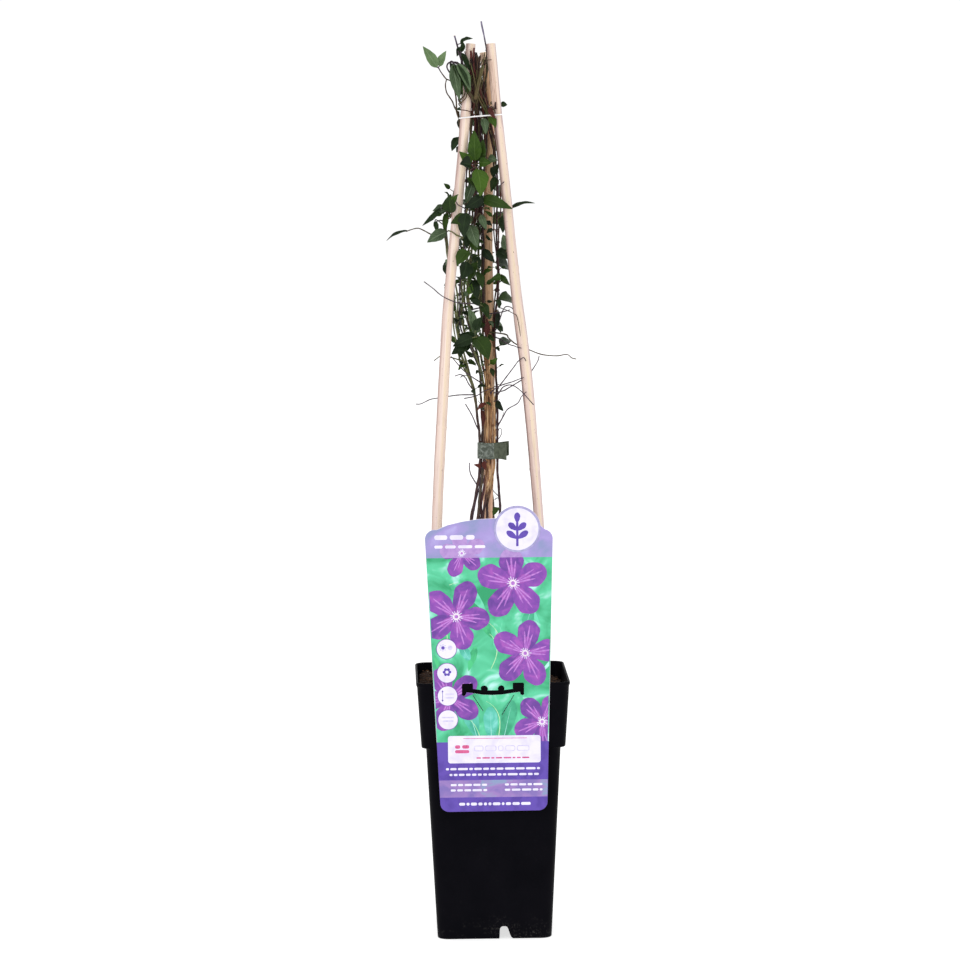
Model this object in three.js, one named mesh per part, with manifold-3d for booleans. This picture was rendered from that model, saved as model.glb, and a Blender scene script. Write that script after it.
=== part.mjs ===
// Young climbing plant tied to three bamboo canes in a deep square pot, with a hanging label.
// Millimetres, +Z up, the labelled side faces -Y, the pot stands on z = 0.
import * as THREE from "three";
import { mergeVertices } from "three/addons/utils/BufferGeometryUtils.js";
import ManifoldModule from "manifold-3d";

const wasm = await ManifoldModule();
wasm.setup();
const { Manifold, Mesh: SolidMesh } = wasm;

// ---------------------------------------------------------------- driving dimensions
const POT_HEIGHT = 223.5;
const POT_FOOT = 49;
const POT_WAIST = 57.4;
const COLLAR_Z = 167;
const COLLAR_FOOT = 61.4;
const POT_RIM = 65;
const POT_WALL = 1.4;
const POT_CORNER = 10;
const FOOT_RECESS = 11;
const FLOOR_TOP = 12.4;
const NOTCH_HEIGHT = 10.8;
const SOIL_TOP = 212.5;
const LABEL_THICK = 0.8;
const LABEL_LEAN = 0.033;
const LABEL_Y = -65.7;
const TIE_LOW = 406;
const TIE_HIGH = 420;
const TIE_THICK = 0.6;
const BAND_Z = 701.5;
const BAND_TILT = 0.09;
const BAND_RADIUS = 0.6;
const BLADE_THICK = 0.7;
const CLEAR = 0.3;
const STEM_FOOT = 194;
const STEM_STEP = 16;

// ---------------------------------------------------------------- small vector tools
const add = (a, b, k = 1) => [a[0] + b[0] * k, a[1] + b[1] * k, a[2] + b[2] * k];
const sub = (a, b) => [a[0] - b[0], a[1] - b[1], a[2] - b[2]];
const dot = (a, b) => a[0] * b[0] + a[1] * b[1] + a[2] * b[2];
const cross = (a, b) => [
  a[1] * b[2] - a[2] * b[1],
  a[2] * b[0] - a[0] * b[2],
  a[0] * b[1] - a[1] * b[0],
];
const size = (a) => Math.sqrt(dot(a, a));
const unit = (a) => {
  const l = size(a) || 1;
  return [a[0] / l, a[1] / l, a[2] / l];
};
const mix = (a, b, t) => a + (b - a) * t;

function randomFrom(seed) {
  let s = seed >>> 0;
  return () => {
    s = (s + 0x6d2b79f5) >>> 0;
    let t = s;
    t = Math.imul(t ^ (t >>> 15), t | 1);
    t ^= t + Math.imul(t ^ (t >>> 7), t | 61);
    return ((t ^ (t >>> 14)) >>> 0) / 4294967296;
  };
}

// x and y of a rising line at height z, smooth between its points
function at(path, z) {
  const last = path.length - 1;
  if (z <= path[0][2]) return [path[0][0], path[0][1]];
  if (z >= path[last][2]) return [path[last][0], path[last][1]];
  let k = 0;
  while (path[k + 1][2] < z) k += 1;
  const slope = (i, axis) => {
    const a = path[Math.max(0, i - 1)];
    const b = path[Math.min(last, i + 1)];
    return (b[axis] - a[axis]) / (b[2] - a[2]);
  };
  const h = path[k + 1][2] - path[k][2];
  const t = (z - path[k][2]) / h;
  const value = (axis) =>
    (2 * t ** 3 - 3 * t ** 2 + 1) * path[k][axis] +
    (t ** 3 - 2 * t ** 2 + t) * h * slope(k, axis) +
    (3 * t ** 2 - 2 * t ** 3) * path[k + 1][axis] +
    (t ** 3 - t ** 2) * h * slope(k + 1, axis);
  return [value(0), value(1)];
}

// uniform Catmull-Rom line through points, cut into steps of about `step`
function smooth(points, step) {
  const count = points.length - 1;
  const p = (i) => {
    if (i < 0) return sub(add(points[0], points[0]), points[1]);
    if (i > count) return sub(add(points[count], points[count]), points[count - 1]);
    return points[i];
  };
  const out = [points[0]];
  for (let i = 0; i < count; i += 1) {
    const n = Math.max(1, Math.round(size(sub(points[i + 1], points[i])) / step));
    for (let j = 1; j <= n; j += 1) {
      const t = j / n;
      out.push([0, 1, 2].map((a) =>
        0.5 * (2 * p(i)[a] + (p(i + 1)[a] - p(i - 1)[a]) * t +
        (2 * p(i - 1)[a] - 5 * p(i)[a] + 4 * p(i + 1)[a] - p(i + 2)[a]) * t * t +
        (3 * p(i)[a] - p(i - 1)[a] - 3 * p(i + 1)[a] + p(i + 2)[a]) * t * t * t)));
    }
  }
  return out;
}

// ---------------------------------------------------------------- solids
function solid(points, faces) {
  let volume = 0;
  for (const [a, b, c] of faces) volume += dot(points[a], cross(points[b], points[c]));
  const out = volume < 0 ? faces.map(([a, b, c]) => [a, c, b]) : faces;
  return new Manifold(new SolidMesh({
    numProp: 3,
    vertProperties: new Float32Array(points.flat()),
    triVerts: new Uint32Array(out.flat()),
  }));
}

function solidOf(source) {
  const bare = source.clone();
  bare.deleteAttribute("normal");
  bare.deleteAttribute("uv");
  const g = mergeVertices(bare, 1e-4);
  const p = g.attributes.position;
  const points = Array.from({ length: p.count }, (_, i) => [p.getX(i), p.getY(i), p.getZ(i)]);
  const faces = [];
  for (let i = 0; i < g.index.count; i += 3) {
    faces.push([g.index.getX(i), g.index.getX(i + 1), g.index.getX(i + 2)]);
  }
  return solid(points, faces);
}

function loft(rings, closed = false) {
  const n = rings[0].length;
  const faces = [];
  const last = closed ? rings.length : rings.length - 1;
  for (let k = 0; k < last; k += 1) {
    for (let i = 0; i < n; i += 1) {
      const j = (i + 1) % n;
      const next = ((k + 1) % rings.length) * n;
      faces.push([k * n + i, k * n + j, next + j], [k * n + i, next + j, next + i]);
    }
  }
  if (!closed) {
    const top = (rings.length - 1) * n;
    for (let i = 1; i < n - 1; i += 1) {
      faces.push([0, i + 1, i], [top, top + i, top + i + 1]);
    }
  }
  return solid(rings.flat(), faces);
}

function tubeRings(points, radius, sides, closed = false) {
  const count = points.length;
  const rings = [];
  let normal = null;
  for (let i = 0; i < count; i += 1) {
    const before = closed ? points[(i + count - 1) % count] : points[Math.max(0, i - 1)];
    const after = closed ? points[(i + 1) % count] : points[Math.min(count - 1, i + 1)];
    const t = unit(sub(after, before));
    if (!normal) normal = Math.abs(t[2]) > 0.7 ? [1, 0, 0] : [0, 0, 1];
    normal = unit(add(normal, t, -dot(normal, t)));
    const side = cross(t, normal);
    const r = radius(i / (count - 1));
    rings.push(Array.from({ length: sides }, (_, k) => {
      const a = (k / sides) * 2 * Math.PI;
      return add(add(points[i], normal, Math.cos(a) * r), side, Math.sin(a) * r);
    }));
  }
  return rings;
}

const tube = (points, radius, sides, closed = false) =>
  loft(tubeRings(points, radius, sides, closed), closed);

function roundedSquare(half, z, corner = POT_CORNER) {
  const out = [];
  for (let c = 0; c < 4; c += 1) {
    const cx = (c === 0 || c === 3 ? 1 : -1) * (half - corner);
    const cy = (c < 2 ? 1 : -1) * (half - corner);
    for (let i = 0; i < 5; i += 1) {
      const a = (c * 90 + i * 22.5) * Math.PI / 180;
      out.push([cx + corner * Math.cos(a), cy + corner * Math.sin(a), z]);
    }
  }
  return out;
}

// outline around a set of discs [x, y, r], as evenly spaced points
function hullAround(discs, offset, count) {
  const cloud = [];
  for (const [x, y, r] of discs) {
    for (let i = 0; i < 32; i += 1) {
      const a = (i / 32) * 2 * Math.PI;
      cloud.push([x + (r + offset) * Math.cos(a), y + (r + offset) * Math.sin(a)]);
    }
  }
  cloud.sort((a, b) => a[0] - b[0] || a[1] - b[1]);
  const turn = (o, a, b) => (a[0] - o[0]) * (b[1] - o[1]) - (a[1] - o[1]) * (b[0] - o[0]);
  const half = (list) => {
    const h = [];
    for (const p of list) {
      while (h.length > 1 && turn(h[h.length - 2], h[h.length - 1], p) <= 0) h.pop();
      h.push(p);
    }
    h.pop();
    return h;
  };
  const hull = [...half(cloud), ...half([...cloud].reverse())];
  const length = hull.map((p, i) => {
    const q = hull[(i + 1) % hull.length];
    return Math.hypot(q[0] - p[0], q[1] - p[1]);
  });
  const total = length.reduce((a, b) => a + b, 0);
  const out = [];
  let k = 0;
  let passed = 0;
  for (let i = 0; i < count; i += 1) {
    const want = (i / count) * total;
    while (passed + length[k] < want) {
      passed += length[k];
      k += 1;
    }
    const q = hull[(k + 1) % hull.length];
    const t = (want - passed) / length[k];
    out.push([mix(hull[k][0], q[0], t), mix(hull[k][1], q[1], t)]);
  }
  return out;
}

// upright tape of a given thickness along a plan line
function tape(path, closed, low, high, thick) {
  const n = path.length;
  const rings = path.map((p, i) => {
    const a = closed ? path[(i + n - 1) % n] : path[Math.max(0, i - 1)];
    const b = closed ? path[(i + 1) % n] : path[Math.min(n - 1, i + 1)];
    const t = unit([b[0] - a[0], b[1] - a[1], 0]);
    const out = [t[1] * thick / 2, -t[0] * thick / 2];
    return [
      [p[0] - out[0], p[1] - out[1], low(i)],
      [p[0] + out[0], p[1] + out[1], low(i)],
      [p[0] + out[0], p[1] + out[1], high(i)],
      [p[0] - out[0], p[1] - out[1], high(i)],
    ];
  });
  return loft(rings, closed);
}

// ---------------------------------------------------------------- pot
const potOuter = (z) =>
  z < COLLAR_Z
    ? mix(POT_FOOT, POT_WAIST, Math.min(1, z / (COLLAR_Z - 1)))
    : mix(COLLAR_FOOT, POT_RIM, (z - COLLAR_Z) / (POT_HEIGHT - COLLAR_Z));

function potBody() {
  let body = loft([
    roundedSquare(POT_FOOT, 0),
    roundedSquare(POT_WAIST, COLLAR_Z - 1),
    roundedSquare(COLLAR_FOOT, COLLAR_Z),
    roundedSquare(POT_RIM, POT_HEIGHT),
  ]);
  const wall = POT_CORNER - POT_WALL;
  body = body.subtract(loft([
    roundedSquare(potOuter(FLOOR_TOP) - POT_WALL, FLOOR_TOP, wall),
    roundedSquare(POT_WAIST - POT_WALL, COLLAR_Z + 0.4, wall),
    roundedSquare(COLLAR_FOOT - POT_WALL, COLLAR_Z + 1.6, wall),
    roundedSquare(POT_RIM - POT_WALL, POT_HEIGHT, wall),
    roundedSquare(POT_RIM - POT_WALL, POT_HEIGHT + 5, wall),
  ]));
  body = body.subtract(loft([
    roundedSquare(POT_FOOT - 2, -5, wall),
    roundedSquare(POT_FOOT - 2, FOOT_RECESS, wall),
  ]));
  for (let side = 0; side < 4; side += 1) {
    const shape = new THREE.Shape([
      [3.2, -2], [16.6, -2], [14.4, 0.8], [12.8, 3.8], [10.8, NOTCH_HEIGHT - 1.4], [9.2, NOTCH_HEIGHT],
      [6.6, NOTCH_HEIGHT], [5, NOTCH_HEIGHT - 0.8], [4.2, NOTCH_HEIGHT - 2.8], [3.9, 1.2],
    ].map(([x, z]) => new THREE.Vector2(x, z)));
    const cut = new THREE.ExtrudeGeometry(shape, { depth: 14, bevelEnabled: false });
    cut.rotateX(Math.PI / 2);
    cut.translate(0, -POT_FOOT + 9, 0);
    cut.rotateZ(side * Math.PI / 2);
    body = body.subtract(solidOf(cut));
  }
  const drains = [[0, 0], [30, 30], [-30, 30], [30, -30], [-30, -30]];
  for (const [x, y] of drains) {
    const hole = new THREE.CylinderGeometry(4, 4, 20, 12);
    hole.rotateX(Math.PI / 2);
    hole.translate(x, y, FLOOR_TOP);
    body = body.subtract(solidOf(hole));
  }
  return body;
}

// ---------------------------------------------------------------- canes
const CANES = [
  { name: "cane_left", foot: 4.8, tip: 4.1, belly: 0.3, top: 763, joints: [96, 268, 438, 602], path: [
    [-38, -34, 15], [-44.5, -37, 130], [-46, -36.5, 224], [-46.5, -33.5, 300], [-46, -28.5, 357],
    [-39, -21, 476], [-34, -16, 546], [-25, -10.5, 631], [-18, -6, 703], [-13, -3, 763],
  ] },
  { name: "cane_right", foot: 4.2, tip: 4, belly: 0.9, top: 763, joints: [120, 236, 402, 573], path: [
    [37, -33, 15], [43, -37, 130], [44.5, -36.5, 224], [43.5, -33.5, 300], [41, -28.5, 357],
    [32, -21, 477], [23, -16, 557], [14, -9, 656], [9.2, -6, 702], [4, -3, 763],
  ] },
  { name: "cane_back", foot: 4.6, tip: 3.9, belly: 0.2, top: 756, joints: [64, 214, 386, 596], path: [
    [-3, 37, 15], [-3, 44, 130], [-2, 44, 224], [-1, 38, 355], [1.5, 31, 466], [1.8, 27, 520],
    [0.8, 24, 568], [1.2, 20, 626], [3, 17, 675], [2.8, 14.5, 715], [-2.2, 12, 763],
  ] },
];
const CANE_FOOT = 15;
const CANE_TOP = 763;
// the canes are a little thicker about this height
const BELLY_Z = 490;
const BELLY_REACH = 90;
const caneRadius = (cane, z) =>
  mix(cane.foot, cane.tip, Math.min(1, Math.max(0, (z - CANE_FOOT) / (CANE_TOP - CANE_FOOT))))
  + cane.belly * Math.exp(-(((z - BELLY_Z) / BELLY_REACH) ** 2));

function caneLine(cane, grow) {
  const heights = [];
  for (let z = CANE_FOOT; z < cane.top; z += 62) heights.push([z, 0]);
  for (const z of cane.joints) heights.push([z - 4, 0], [z, 0.28], [z + 4, 0]);
  heights.push([cane.top, 0]);
  heights.sort((a, b) => a[0] - b[0]);
  const points = heights.map(([z]) => [...at(cane.path, z), z]);
  const radii = heights.map(([z, swell]) => caneRadius(cane, z) + swell + grow);
  return [points, radii];
}

function caneBody(cane, grow = 0) {
  const [points, radii] = caneLine(cane, grow);
  const last = points.length - 1;
  return tube(points, (t) => radii[Math.round(t * last)], 9);
}

// ---------------------------------------------------------------- stems
// hand-laid routes, foot to tip: radius at the foot and tip, then [x, y, z]
const STEMS = [
  { foot: 1.4, tip: 1, top: 706, path: [
    [-9, 3, 194], [-13, 8, 290], [-15.2, 14, 356], [-12.3, 18, 371], [-9.5, 23, 385],
    [-7.4, 30, 402], [-7.4, 30, 422], [-9, 28, 440], [-11.4, 24, 464], [-15.7, 20, 477],
    [-21.7, 16, 489], [-25, 13, 502], [-27, 8, 529], [-27.8, 6, 545], [-33, 1, 573],
    [-37.2, -1, 603], [-34.5, 0, 618], [-30, 1, 629], [-26, 1.5, 641], [-22.8, 1, 656],
    [-20.5, 1, 673], [-21, -1, 685], [-24.2, -3, 695], [-23.7, -3, 706],
  ] },
  { foot: 1.3, tip: 0.8, top: 770, path: [
    [-6, 0, 194], [-10, 7, 290], [-10.9, 13, 356], [-8.4, 19, 376], [-5.9, 25, 390],
    [-4.4, 28.5, 402], [-4.3, 28.5, 422], [-3, 27.5, 440], [-3.1, 26, 461], [-6, 21, 482],
    [-11.7, 15, 501], [-21, 12, 521], [-22.5, 10, 545], [-23.5, 9, 560], [-19.2, 7, 596],
    [-16.8, 5, 626], [-15.4, 3, 660], [-13.3, 1, 694], [-14.4, 0, 722], [-17.5, 0.5, 733],
    [-22.6, 0, 753], [-27, -3, 770],
  ] },
  { foot: 1.3, tip: 0.9, top: 754, path: [
    [-2, 3, 194], [-6, 9, 290], [-7.4, 15, 356], [-6.3, 19, 371], [-3.5, 24, 385],
    [-1.4, 27.5, 402], [-1.3, 27.5, 422], [-0.3, 26, 447], [-1, 24, 466], [-3.1, 21, 484],
    [-9, 16, 508], [-15.3, 13, 532], [-17, 12, 545], [-13.3, 9, 583], [-10.6, 6.5, 622],
    [-10.6, 4, 660], [-9.9, 2, 694], [-12.2, 1, 724], [-15.5, 1, 739], [-18.3, 2, 754],
  ] },
  { foot: 1.3, tip: 0.9, top: 756, path: [
    [2, 1, 194], [-2, 7, 290], [-4.8, 13, 356], [-2.2, 20, 376], [0.5, 25, 392], [1.9, 27, 404],
    [1.9, 27, 422], [2.6, 26.4, 447], [1.3, 22.4, 472], [-1.3, 19, 497], [-2.2, 18, 514],
    [-3.1, 15, 544], [-4.7, 13, 572], [-4, 11, 603], [-4.7, 8.5, 640], [-5.3, 7, 664],
    [-6.4, 3, 698], [-8.4, 0, 727], [-10.7, -1, 756],
  ] },
  { foot: 1.4, tip: 0.7, top: 786, path: [
    [7, 3, 194], [8, 9, 290], [8.2, 14, 357], [8.5, 20, 374], [7.7, 25, 390], [7.3, 29, 404],
    [7.4, 29, 422], [7.7, 28, 437], [6.7, 26.5, 466], [6.5, 25, 494], [6.8, 22, 527],
    [8.8, 18, 561], [9, 14, 596], [8.8, 10.5, 626], [7.5, 8, 656], [5.5, 5, 690], [0.2, 2, 719],
    [-5.6, 0, 741], [1.8, 1, 760], [-4.2, 1, 776], [-3.6, 0, 786],
  ] },
  { foot: 1.3, tip: 0.9, top: 754, path: [
    [3, 9, 194], [0, 14, 290], [-2.4, 17.4, 357], [-0.3, 23, 374], [3, 26.2, 388], [5, 27.6, 402],
    [5, 27.6, 422], [5.5, 26.8, 447], [2, 24.5, 473], [-3.5, 22, 501], [-6, 20, 534], [-7, 18, 561],
    [-7, 16, 591], [-7.3, 13, 618], [-3, 11.5, 645], [-0.5, 9.5, 668], [0, 7.5, 690], [-4, 5, 719],
    [-6.3, 4, 744], [-6.7, 5, 754],
  ] },
  { foot: 1.3, tip: 0.8, top: 754, path: [
    [-4, 8, 194], [-7, 17, 290], [-8, 27, 355], [-7, 32, 378], [-4.6, 36, 402], [-4.6, 36, 422],
    [-5, 34, 447], [-8, 31, 486], [-15, 27, 520], [-19, 24, 545], [-19, 21, 572], [-14, 18, 602],
    [-10, 15, 639], [-8, 13, 665], [-6.5, 11, 694], [-9, 7, 724], [-10, 6, 754],
  ] },
  { foot: 1.3, tip: 0.8, top: 690, path: [
    [2, 9, 194], [6, 24, 290], [4, 42, 350], [2.8, 43.2, 378], [4.5, 39.6, 402], [4.5, 39.6, 422],
    [6, 38, 450], [7, 35, 492], [4, 32, 536], [0, 31, 580], [-1, 28, 620], [5.5, 26, 655],
    [9, 22, 690],
  ] },
];
const LEVELS = 38;
const levelZ = (k) => STEM_FOOT + STEM_STEP * k;

for (const [i, stem] of STEMS.entries()) {
  stem.radius = (z) => mix(stem.foot, stem.tip, (z - STEM_FOOT) / (stem.top - STEM_FOOT));
  stem.points = [];
  for (let k = 0; k < LEVELS && levelZ(k) <= stem.top + 0.01; k += 1) {
    const z = levelZ(k);
    const [x, y] = at(stem.path, z);
    const sway = 0.9 * Math.min(1, Math.max(0, (Math.abs(z - 412) - 14) / 40));
    stem.points.push([
      x + sway * Math.sin(z / 15 + i * 2.1),
      y + sway * Math.cos(z / 19 + i * 3.7),
      z,
    ]);
  }
}

// stems part from each other and from the canes until nothing touches
for (let round = 0; round < 120; round += 1) {
  for (let k = 0; k < LEVELS; k += 1) {
    const z = levelZ(k);
    const here = STEMS.filter((stem) => stem.points[k]);
    for (let i = 0; i < here.length; i += 1) {
      for (let j = i + 1; j < here.length; j += 1) {
        const a = here[i].points[k];
        const b = here[j].points[k];
        const need = here[i].radius(z) + here[j].radius(z) + 0.65;
        const d = Math.hypot(b[0] - a[0], b[1] - a[1]);
        if (d < need) {
          const push = (need - d) / 2 / (d || 1);
          const dx = (b[0] - a[0]) * push;
          const dy = (b[1] - a[1]) * push;
          a[0] -= dx;
          a[1] -= dy;
          b[0] += dx;
          b[1] += dy;
        }
      }
      for (const cane of CANES) {
        if (z > CANE_TOP + 12) continue;
        const c = at(cane.path, z);
        const p = here[i].points[k];
        const room = Math.abs(z - BAND_Z) < 12 ? 2.1 : 0.7;
        const need = here[i].radius(z) + caneRadius(cane, z) + room;
        const d = Math.hypot(p[0] - c[0], p[1] - c[1]);
        if (d < need) {
          p[0] += (p[0] - c[0]) * (need - d) / d;
          p[1] += (p[1] - c[1]) * (need - d) / d;
        }
      }
    }
  }
}

// ---------------------------------------------------------------- tie and band
const tieDiscs = [];
for (const k of [13, 14]) {
  for (const stem of STEMS) tieDiscs.push([stem.points[k][0], stem.points[k][1], stem.radius(412)]);
}
tieDiscs.push([...at(CANES[2].path, TIE_LOW), caneRadius(CANES[2], TIE_LOW)]);
tieDiscs.push([...at(CANES[2].path, TIE_HIGH), caneRadius(CANES[2], TIE_HIGH)]);
const tieLoop = hullAround(tieDiscs, 0.45 + TIE_THICK / 2, 30);
const TIE_TAILS = [
  [[7.4, 28.6], [9.8, 27.2], [12.6, 26.6], [15.4, 25.4]],
  [[8.4, 30.6], [11.2, 31.2], [14.4, 31], [17.8, 30]],
];
// how far each tail's lower and upper edge stands from the band's, start to end
const TIE_CUTS = [
  [[-0.2, -0.3, -0.7, -1.2], [-0.4, -0.4, -0.3, -0.2]],
  [[0.4, 0.8, 1.6, 2.8], [0, 0.4, 0.8, 1.2]],
];

function tieBody() {
  let body = tape(tieLoop, true, () => TIE_LOW, () => TIE_HIGH, TIE_THICK);
  TIE_TAILS.forEach((line, n) => {
    const near = tieLoop.reduce((a, b) =>
      Math.hypot(a[0] - line[0][0], a[1] - line[0][1]) <
      Math.hypot(b[0] - line[0][0], b[1] - line[0][1]) ? a : b);
    const path = [near, ...line.slice(1)];
    const [under, over] = TIE_CUTS[n];
    body = body.add(tape(path, false, (i) => TIE_LOW + under[i], (i) => TIE_HIGH + over[i], 0.7));
  });
  return body;
}

const bandDiscs = CANES.map((cane) => [...at(cane.path, BAND_Z), caneRadius(cane, BAND_Z)]);
const bandLine = hullAround(bandDiscs, BAND_RADIUS + 0.6, 26)
  .map(([x, y]) => [x, y, BAND_Z + BAND_TILT * (x + 6)]);

// ---------------------------------------------------------------- what already takes up room
const taken = new Map();
const SLICE = 8;

function take(p, r, owner) {
  const key = Math.floor(p[2] / SLICE);
  if (!taken.has(key)) taken.set(key, []);
  taken.get(key).push([p[0], p[1], p[2], r, owner]);
}

function takeLine(points, radius, owner, step = 2) {
  for (let i = 0; i + 1 < points.length; i += 1) {
    const n = Math.max(1, Math.ceil(size(sub(points[i + 1], points[i])) / step));
    for (let j = 0; j < n; j += 1) {
      const t = j / n;
      take(points[i].map((v, a) => mix(v, points[i + 1][a], t)), radius, owner);
    }
  }
  take(points[points.length - 1], radius, owner);
}

function clashes(p, r, owner, room) {
  const out = [];
  const from = Math.floor((p[2] - r - 6) / SLICE);
  const to = Math.floor((p[2] + r + 6) / SLICE);
  for (let key = from; key <= to; key += 1) {
    for (const q of taken.get(key) ?? []) {
      if (q[4] === owner) continue;
      const need = r + q[3] + room;
      const dx = p[0] - q[0];
      const dy = p[1] - q[1];
      const dz = p[2] - q[2];
      const d = dx * dx + dy * dy + dz * dz;
      if (d < need * need) out.push([Math.sqrt(d), need, q]);
    }
  }
  return out;
}

for (const cane of CANES) {
  const line = caneLine(cane, 0)[0];
  for (let i = 0; i + 1 < line.length; i += 1) {
    takeLine([line[i], line[i + 1]], caneRadius(cane, line[i][2]) + 0.25, cane.name);
  }
}
for (const [i, stem] of STEMS.entries()) {
  for (let k = 0; k + 1 < stem.points.length; k += 1) {
    takeLine([stem.points[k], stem.points[k + 1]], stem.radius(levelZ(k)) + 0.1, i);
  }
}
for (let z = TIE_LOW; z <= TIE_HIGH + 0.1; z += 2) {
  takeLine([...tieLoop, tieLoop[0]].map(([x, y]) => [x, y, z]), 0.7, "tie");
  for (const line of TIE_TAILS) takeLine(line.map(([x, y]) => [x, y, z]), 0.8, "tie");
}
takeLine([...bandLine, bandLine[0]], BAND_RADIUS + 0.1, "band");

// ---------------------------------------------------------------- twigs and curling leaf stalks
// [stem, radius at the start, radius at the tip, points]
const TWIGS = {
  left_arm: [0, 0.7, 0.45, [
    [-35, -3, 607], [-41, -6, 600], [-49, -8, 602], [-59, -9, 607], [-68, -9, 605],
  ]],
  left_thread: [2, 0.6, 0.4, [
    [-4, 16, 536], [-8, 8, 540], [-13, 0, 542], [-23, -12, 543], [-30, -23, 545], [-40, -25, 550],
    [-47, -23, 556], [-55, -20, 562],
  ]],
  right_thread_low: [4, 0.6, 0.4, [[8, 20, 512], [17, 0, 507], [24, -22, 506], [27, -27, 505]]],
  right_thread: [5, 0.7, 0.4, [
    [12, 25, 517], [23, 8, 507], [35, -4, 502], [46, -6, 498], [59, -8, 497], [67, -8, 498],
    [71, -8, 495], [75, -8, 494],
  ]],
  right_loop: [5, 0.6, 0.4, [
    [10, 29, 463], [23, 10, 472], [33, -6, 480], [39, -8, 488], [42, -8, 493], [43, -8, 497],
  ]],
  right_hook: [4, 0.6, 0.4, [
    [7, 24, 466], [13, 10, 475], [20, -8, 486], [25, -24, 494], [29, -28, 497], [31, -28, 494],
  ]],
  left_low: [0, 0.6, 0.4, [
    [-11, 24, 462], [-25, 10, 463], [-35, -6, 463], [-43, -9, 462], [-50, -10, 461],
    [-59, -10, 457], [-63, -10, 457],
  ]],
  right_low: [3, 0.6, 0.4, [
    [1, 24, 462], [5, 16, 467], [11, 10, 471], [20, -6, 475], [26, -27, 479], [29, -29, 480],
  ]],
  right_drop: [4, 0.6, 0.4, [
    [8, 25, 461], [13, 8, 470], [20, -8, 472], [27, -27, 468], [37, -33, 457],
  ]],
  right_rise: [4, 0.6, 0.4, [
    [7.5, 28, 433], [12, 12, 443], [16, 0, 451], [24, -14, 457], [27, -29, 464], [31, -31, 468],
  ]],
  spur_left: [0, 0.6, 0.45, [[-9, 29, 431], [-14, 18, 444], [-20, 12, 455]]],
  spur_low: [0, 0.6, 0.45, [[-10, 23, 383], [-16, 16, 394], [-17, 14, 399], [-17, 13, 404]]],
  spur_mid: [0, 0.6, 0.4, [
    [-12, 23, 465], [-17, 16, 472], [-20, 10, 478], [-24, 4, 481], [-29, 0, 480],
  ]],
  spur_out: [1, 0.6, 0.4, [[-4, 24, 471], [-15, 10, 479], [-22, 4, 485], [-32, -4, 497]]],
  spur_high: [4, 0.6, 0.4, [[8.5, 10, 630], [10, -3, 636], [10.5, -13, 642], [14, -17, 646]]],
  spur_right: [3, 0.6, 0.4, [[-2.5, 16, 532], [8, 0, 534], [12, -8, 535], [18, -16, 537]]],
  arch_right: [4, 0.6, 0.4, [[8, 22, 517], [11, 12, 530], [15, 0, 539], [22, -14, 538]]],
  left_tick: [0, 0.7, 0.4, [[-22.5, 15, 492], [-32, 0, 496], [-41, -8, 498], [-47, -10, 494]]],
  second_stem: [0, 1, 0.7, [
    [-11.4, 24, 464], [-17, 20, 484], [-24, 15, 512], [-26, 11, 530], [-26, 9, 548], [-30, 6, 571],
    [-31, 5, 592],
  ]],
  cross_left: [1, 0.9, 0.6, [
    [-20, 4, 596], [-23, -8, 598], [-26.5, -18, 601], [-30.5, -20, 604], [-34, -17, 605],
  ]],
  cross_high: [1, 0.6, 0.4, [[-17.5, 4, 618], [-21, -10, 623], [-25.5, -18, 627], [-28, -20, 631]]],
  left_spur: [0, 0.6, 0.4, [[-35.5, -1, 612], [-40.5, -5, 613.5], [-46, -8, 611.5]]],
  crown_strand: [0, 0.8, 0.5, [
    [-25.5, -3, 700], [-26, -8, 716], [-28, -10, 727], [-31, -12, 732], [-34, -13, 733],
    [-38, -14, 738], [-41, -14, 743],
  ]],
  crown_loop: [0, 0.7, 0.5, [
    [-25.5, -3, 704], [-29, -4, 714], [-34, -6, 722], [-35, -10, 728], [-34, -13, 733],
  ]],
  cut_left: [1, 0.9, 0.7, [
    [-13.2, 0, 708], [-13, -7, 718], [-16, -10, 730], [-18.5, -10.5, 741], [-17.5, -10.5, 752],
  ]],
  cut_front: [3, 0.9, 0.7, [[-7.2, 1, 712], [-9, -6, 724], [-12, -9, 736], [-13, -10, 750]]],
  cut_olive: [3, 1.1, 0.9, [
    [-6.9, 1.5, 707], [-9, -3, 721], [-5.5, -5, 733], [-2, -5, 744], [-1, -4, 749],
  ]],
  cut_right: [5, 0.8, 0.7, [[-4, 5, 719], [-0.5, 3, 732], [1.5, 4, 743], [1.5, 5, 752]]],
  cut_back: [6, 0.8, 0.7, [[-8, 8, 716], [-12, 9, 732], [-14, 10, 748]]],
  cut_low: [2, 0.8, 0.7, [[-10.5, 2, 706], [-14.5, 7, 722], [-16, 9, 738]]],
  cut_long: [2, 0.9, 0.6, [
    [-10, 2, 697], [-14, -6, 712], [-17, -11, 727], [-18.5, -11.5, 739], [-21.5, -11, 749],
    [-24, -10, 757],
  ]],
  cut_middle: [3, 0.9, 0.7, [
    [-6.6, 2, 703], [-7.5, -4, 718], [-8, -7, 732], [-7, -8, 744], [-6, -8, 752],
  ]],
  cut_high: [5, 0.8, 0.7, [
    [-2, 6, 705], [-1.5, 1, 718], [-0.5, -1, 732], [1, -2, 744], [2, -2, 752],
  ]],
};

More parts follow.
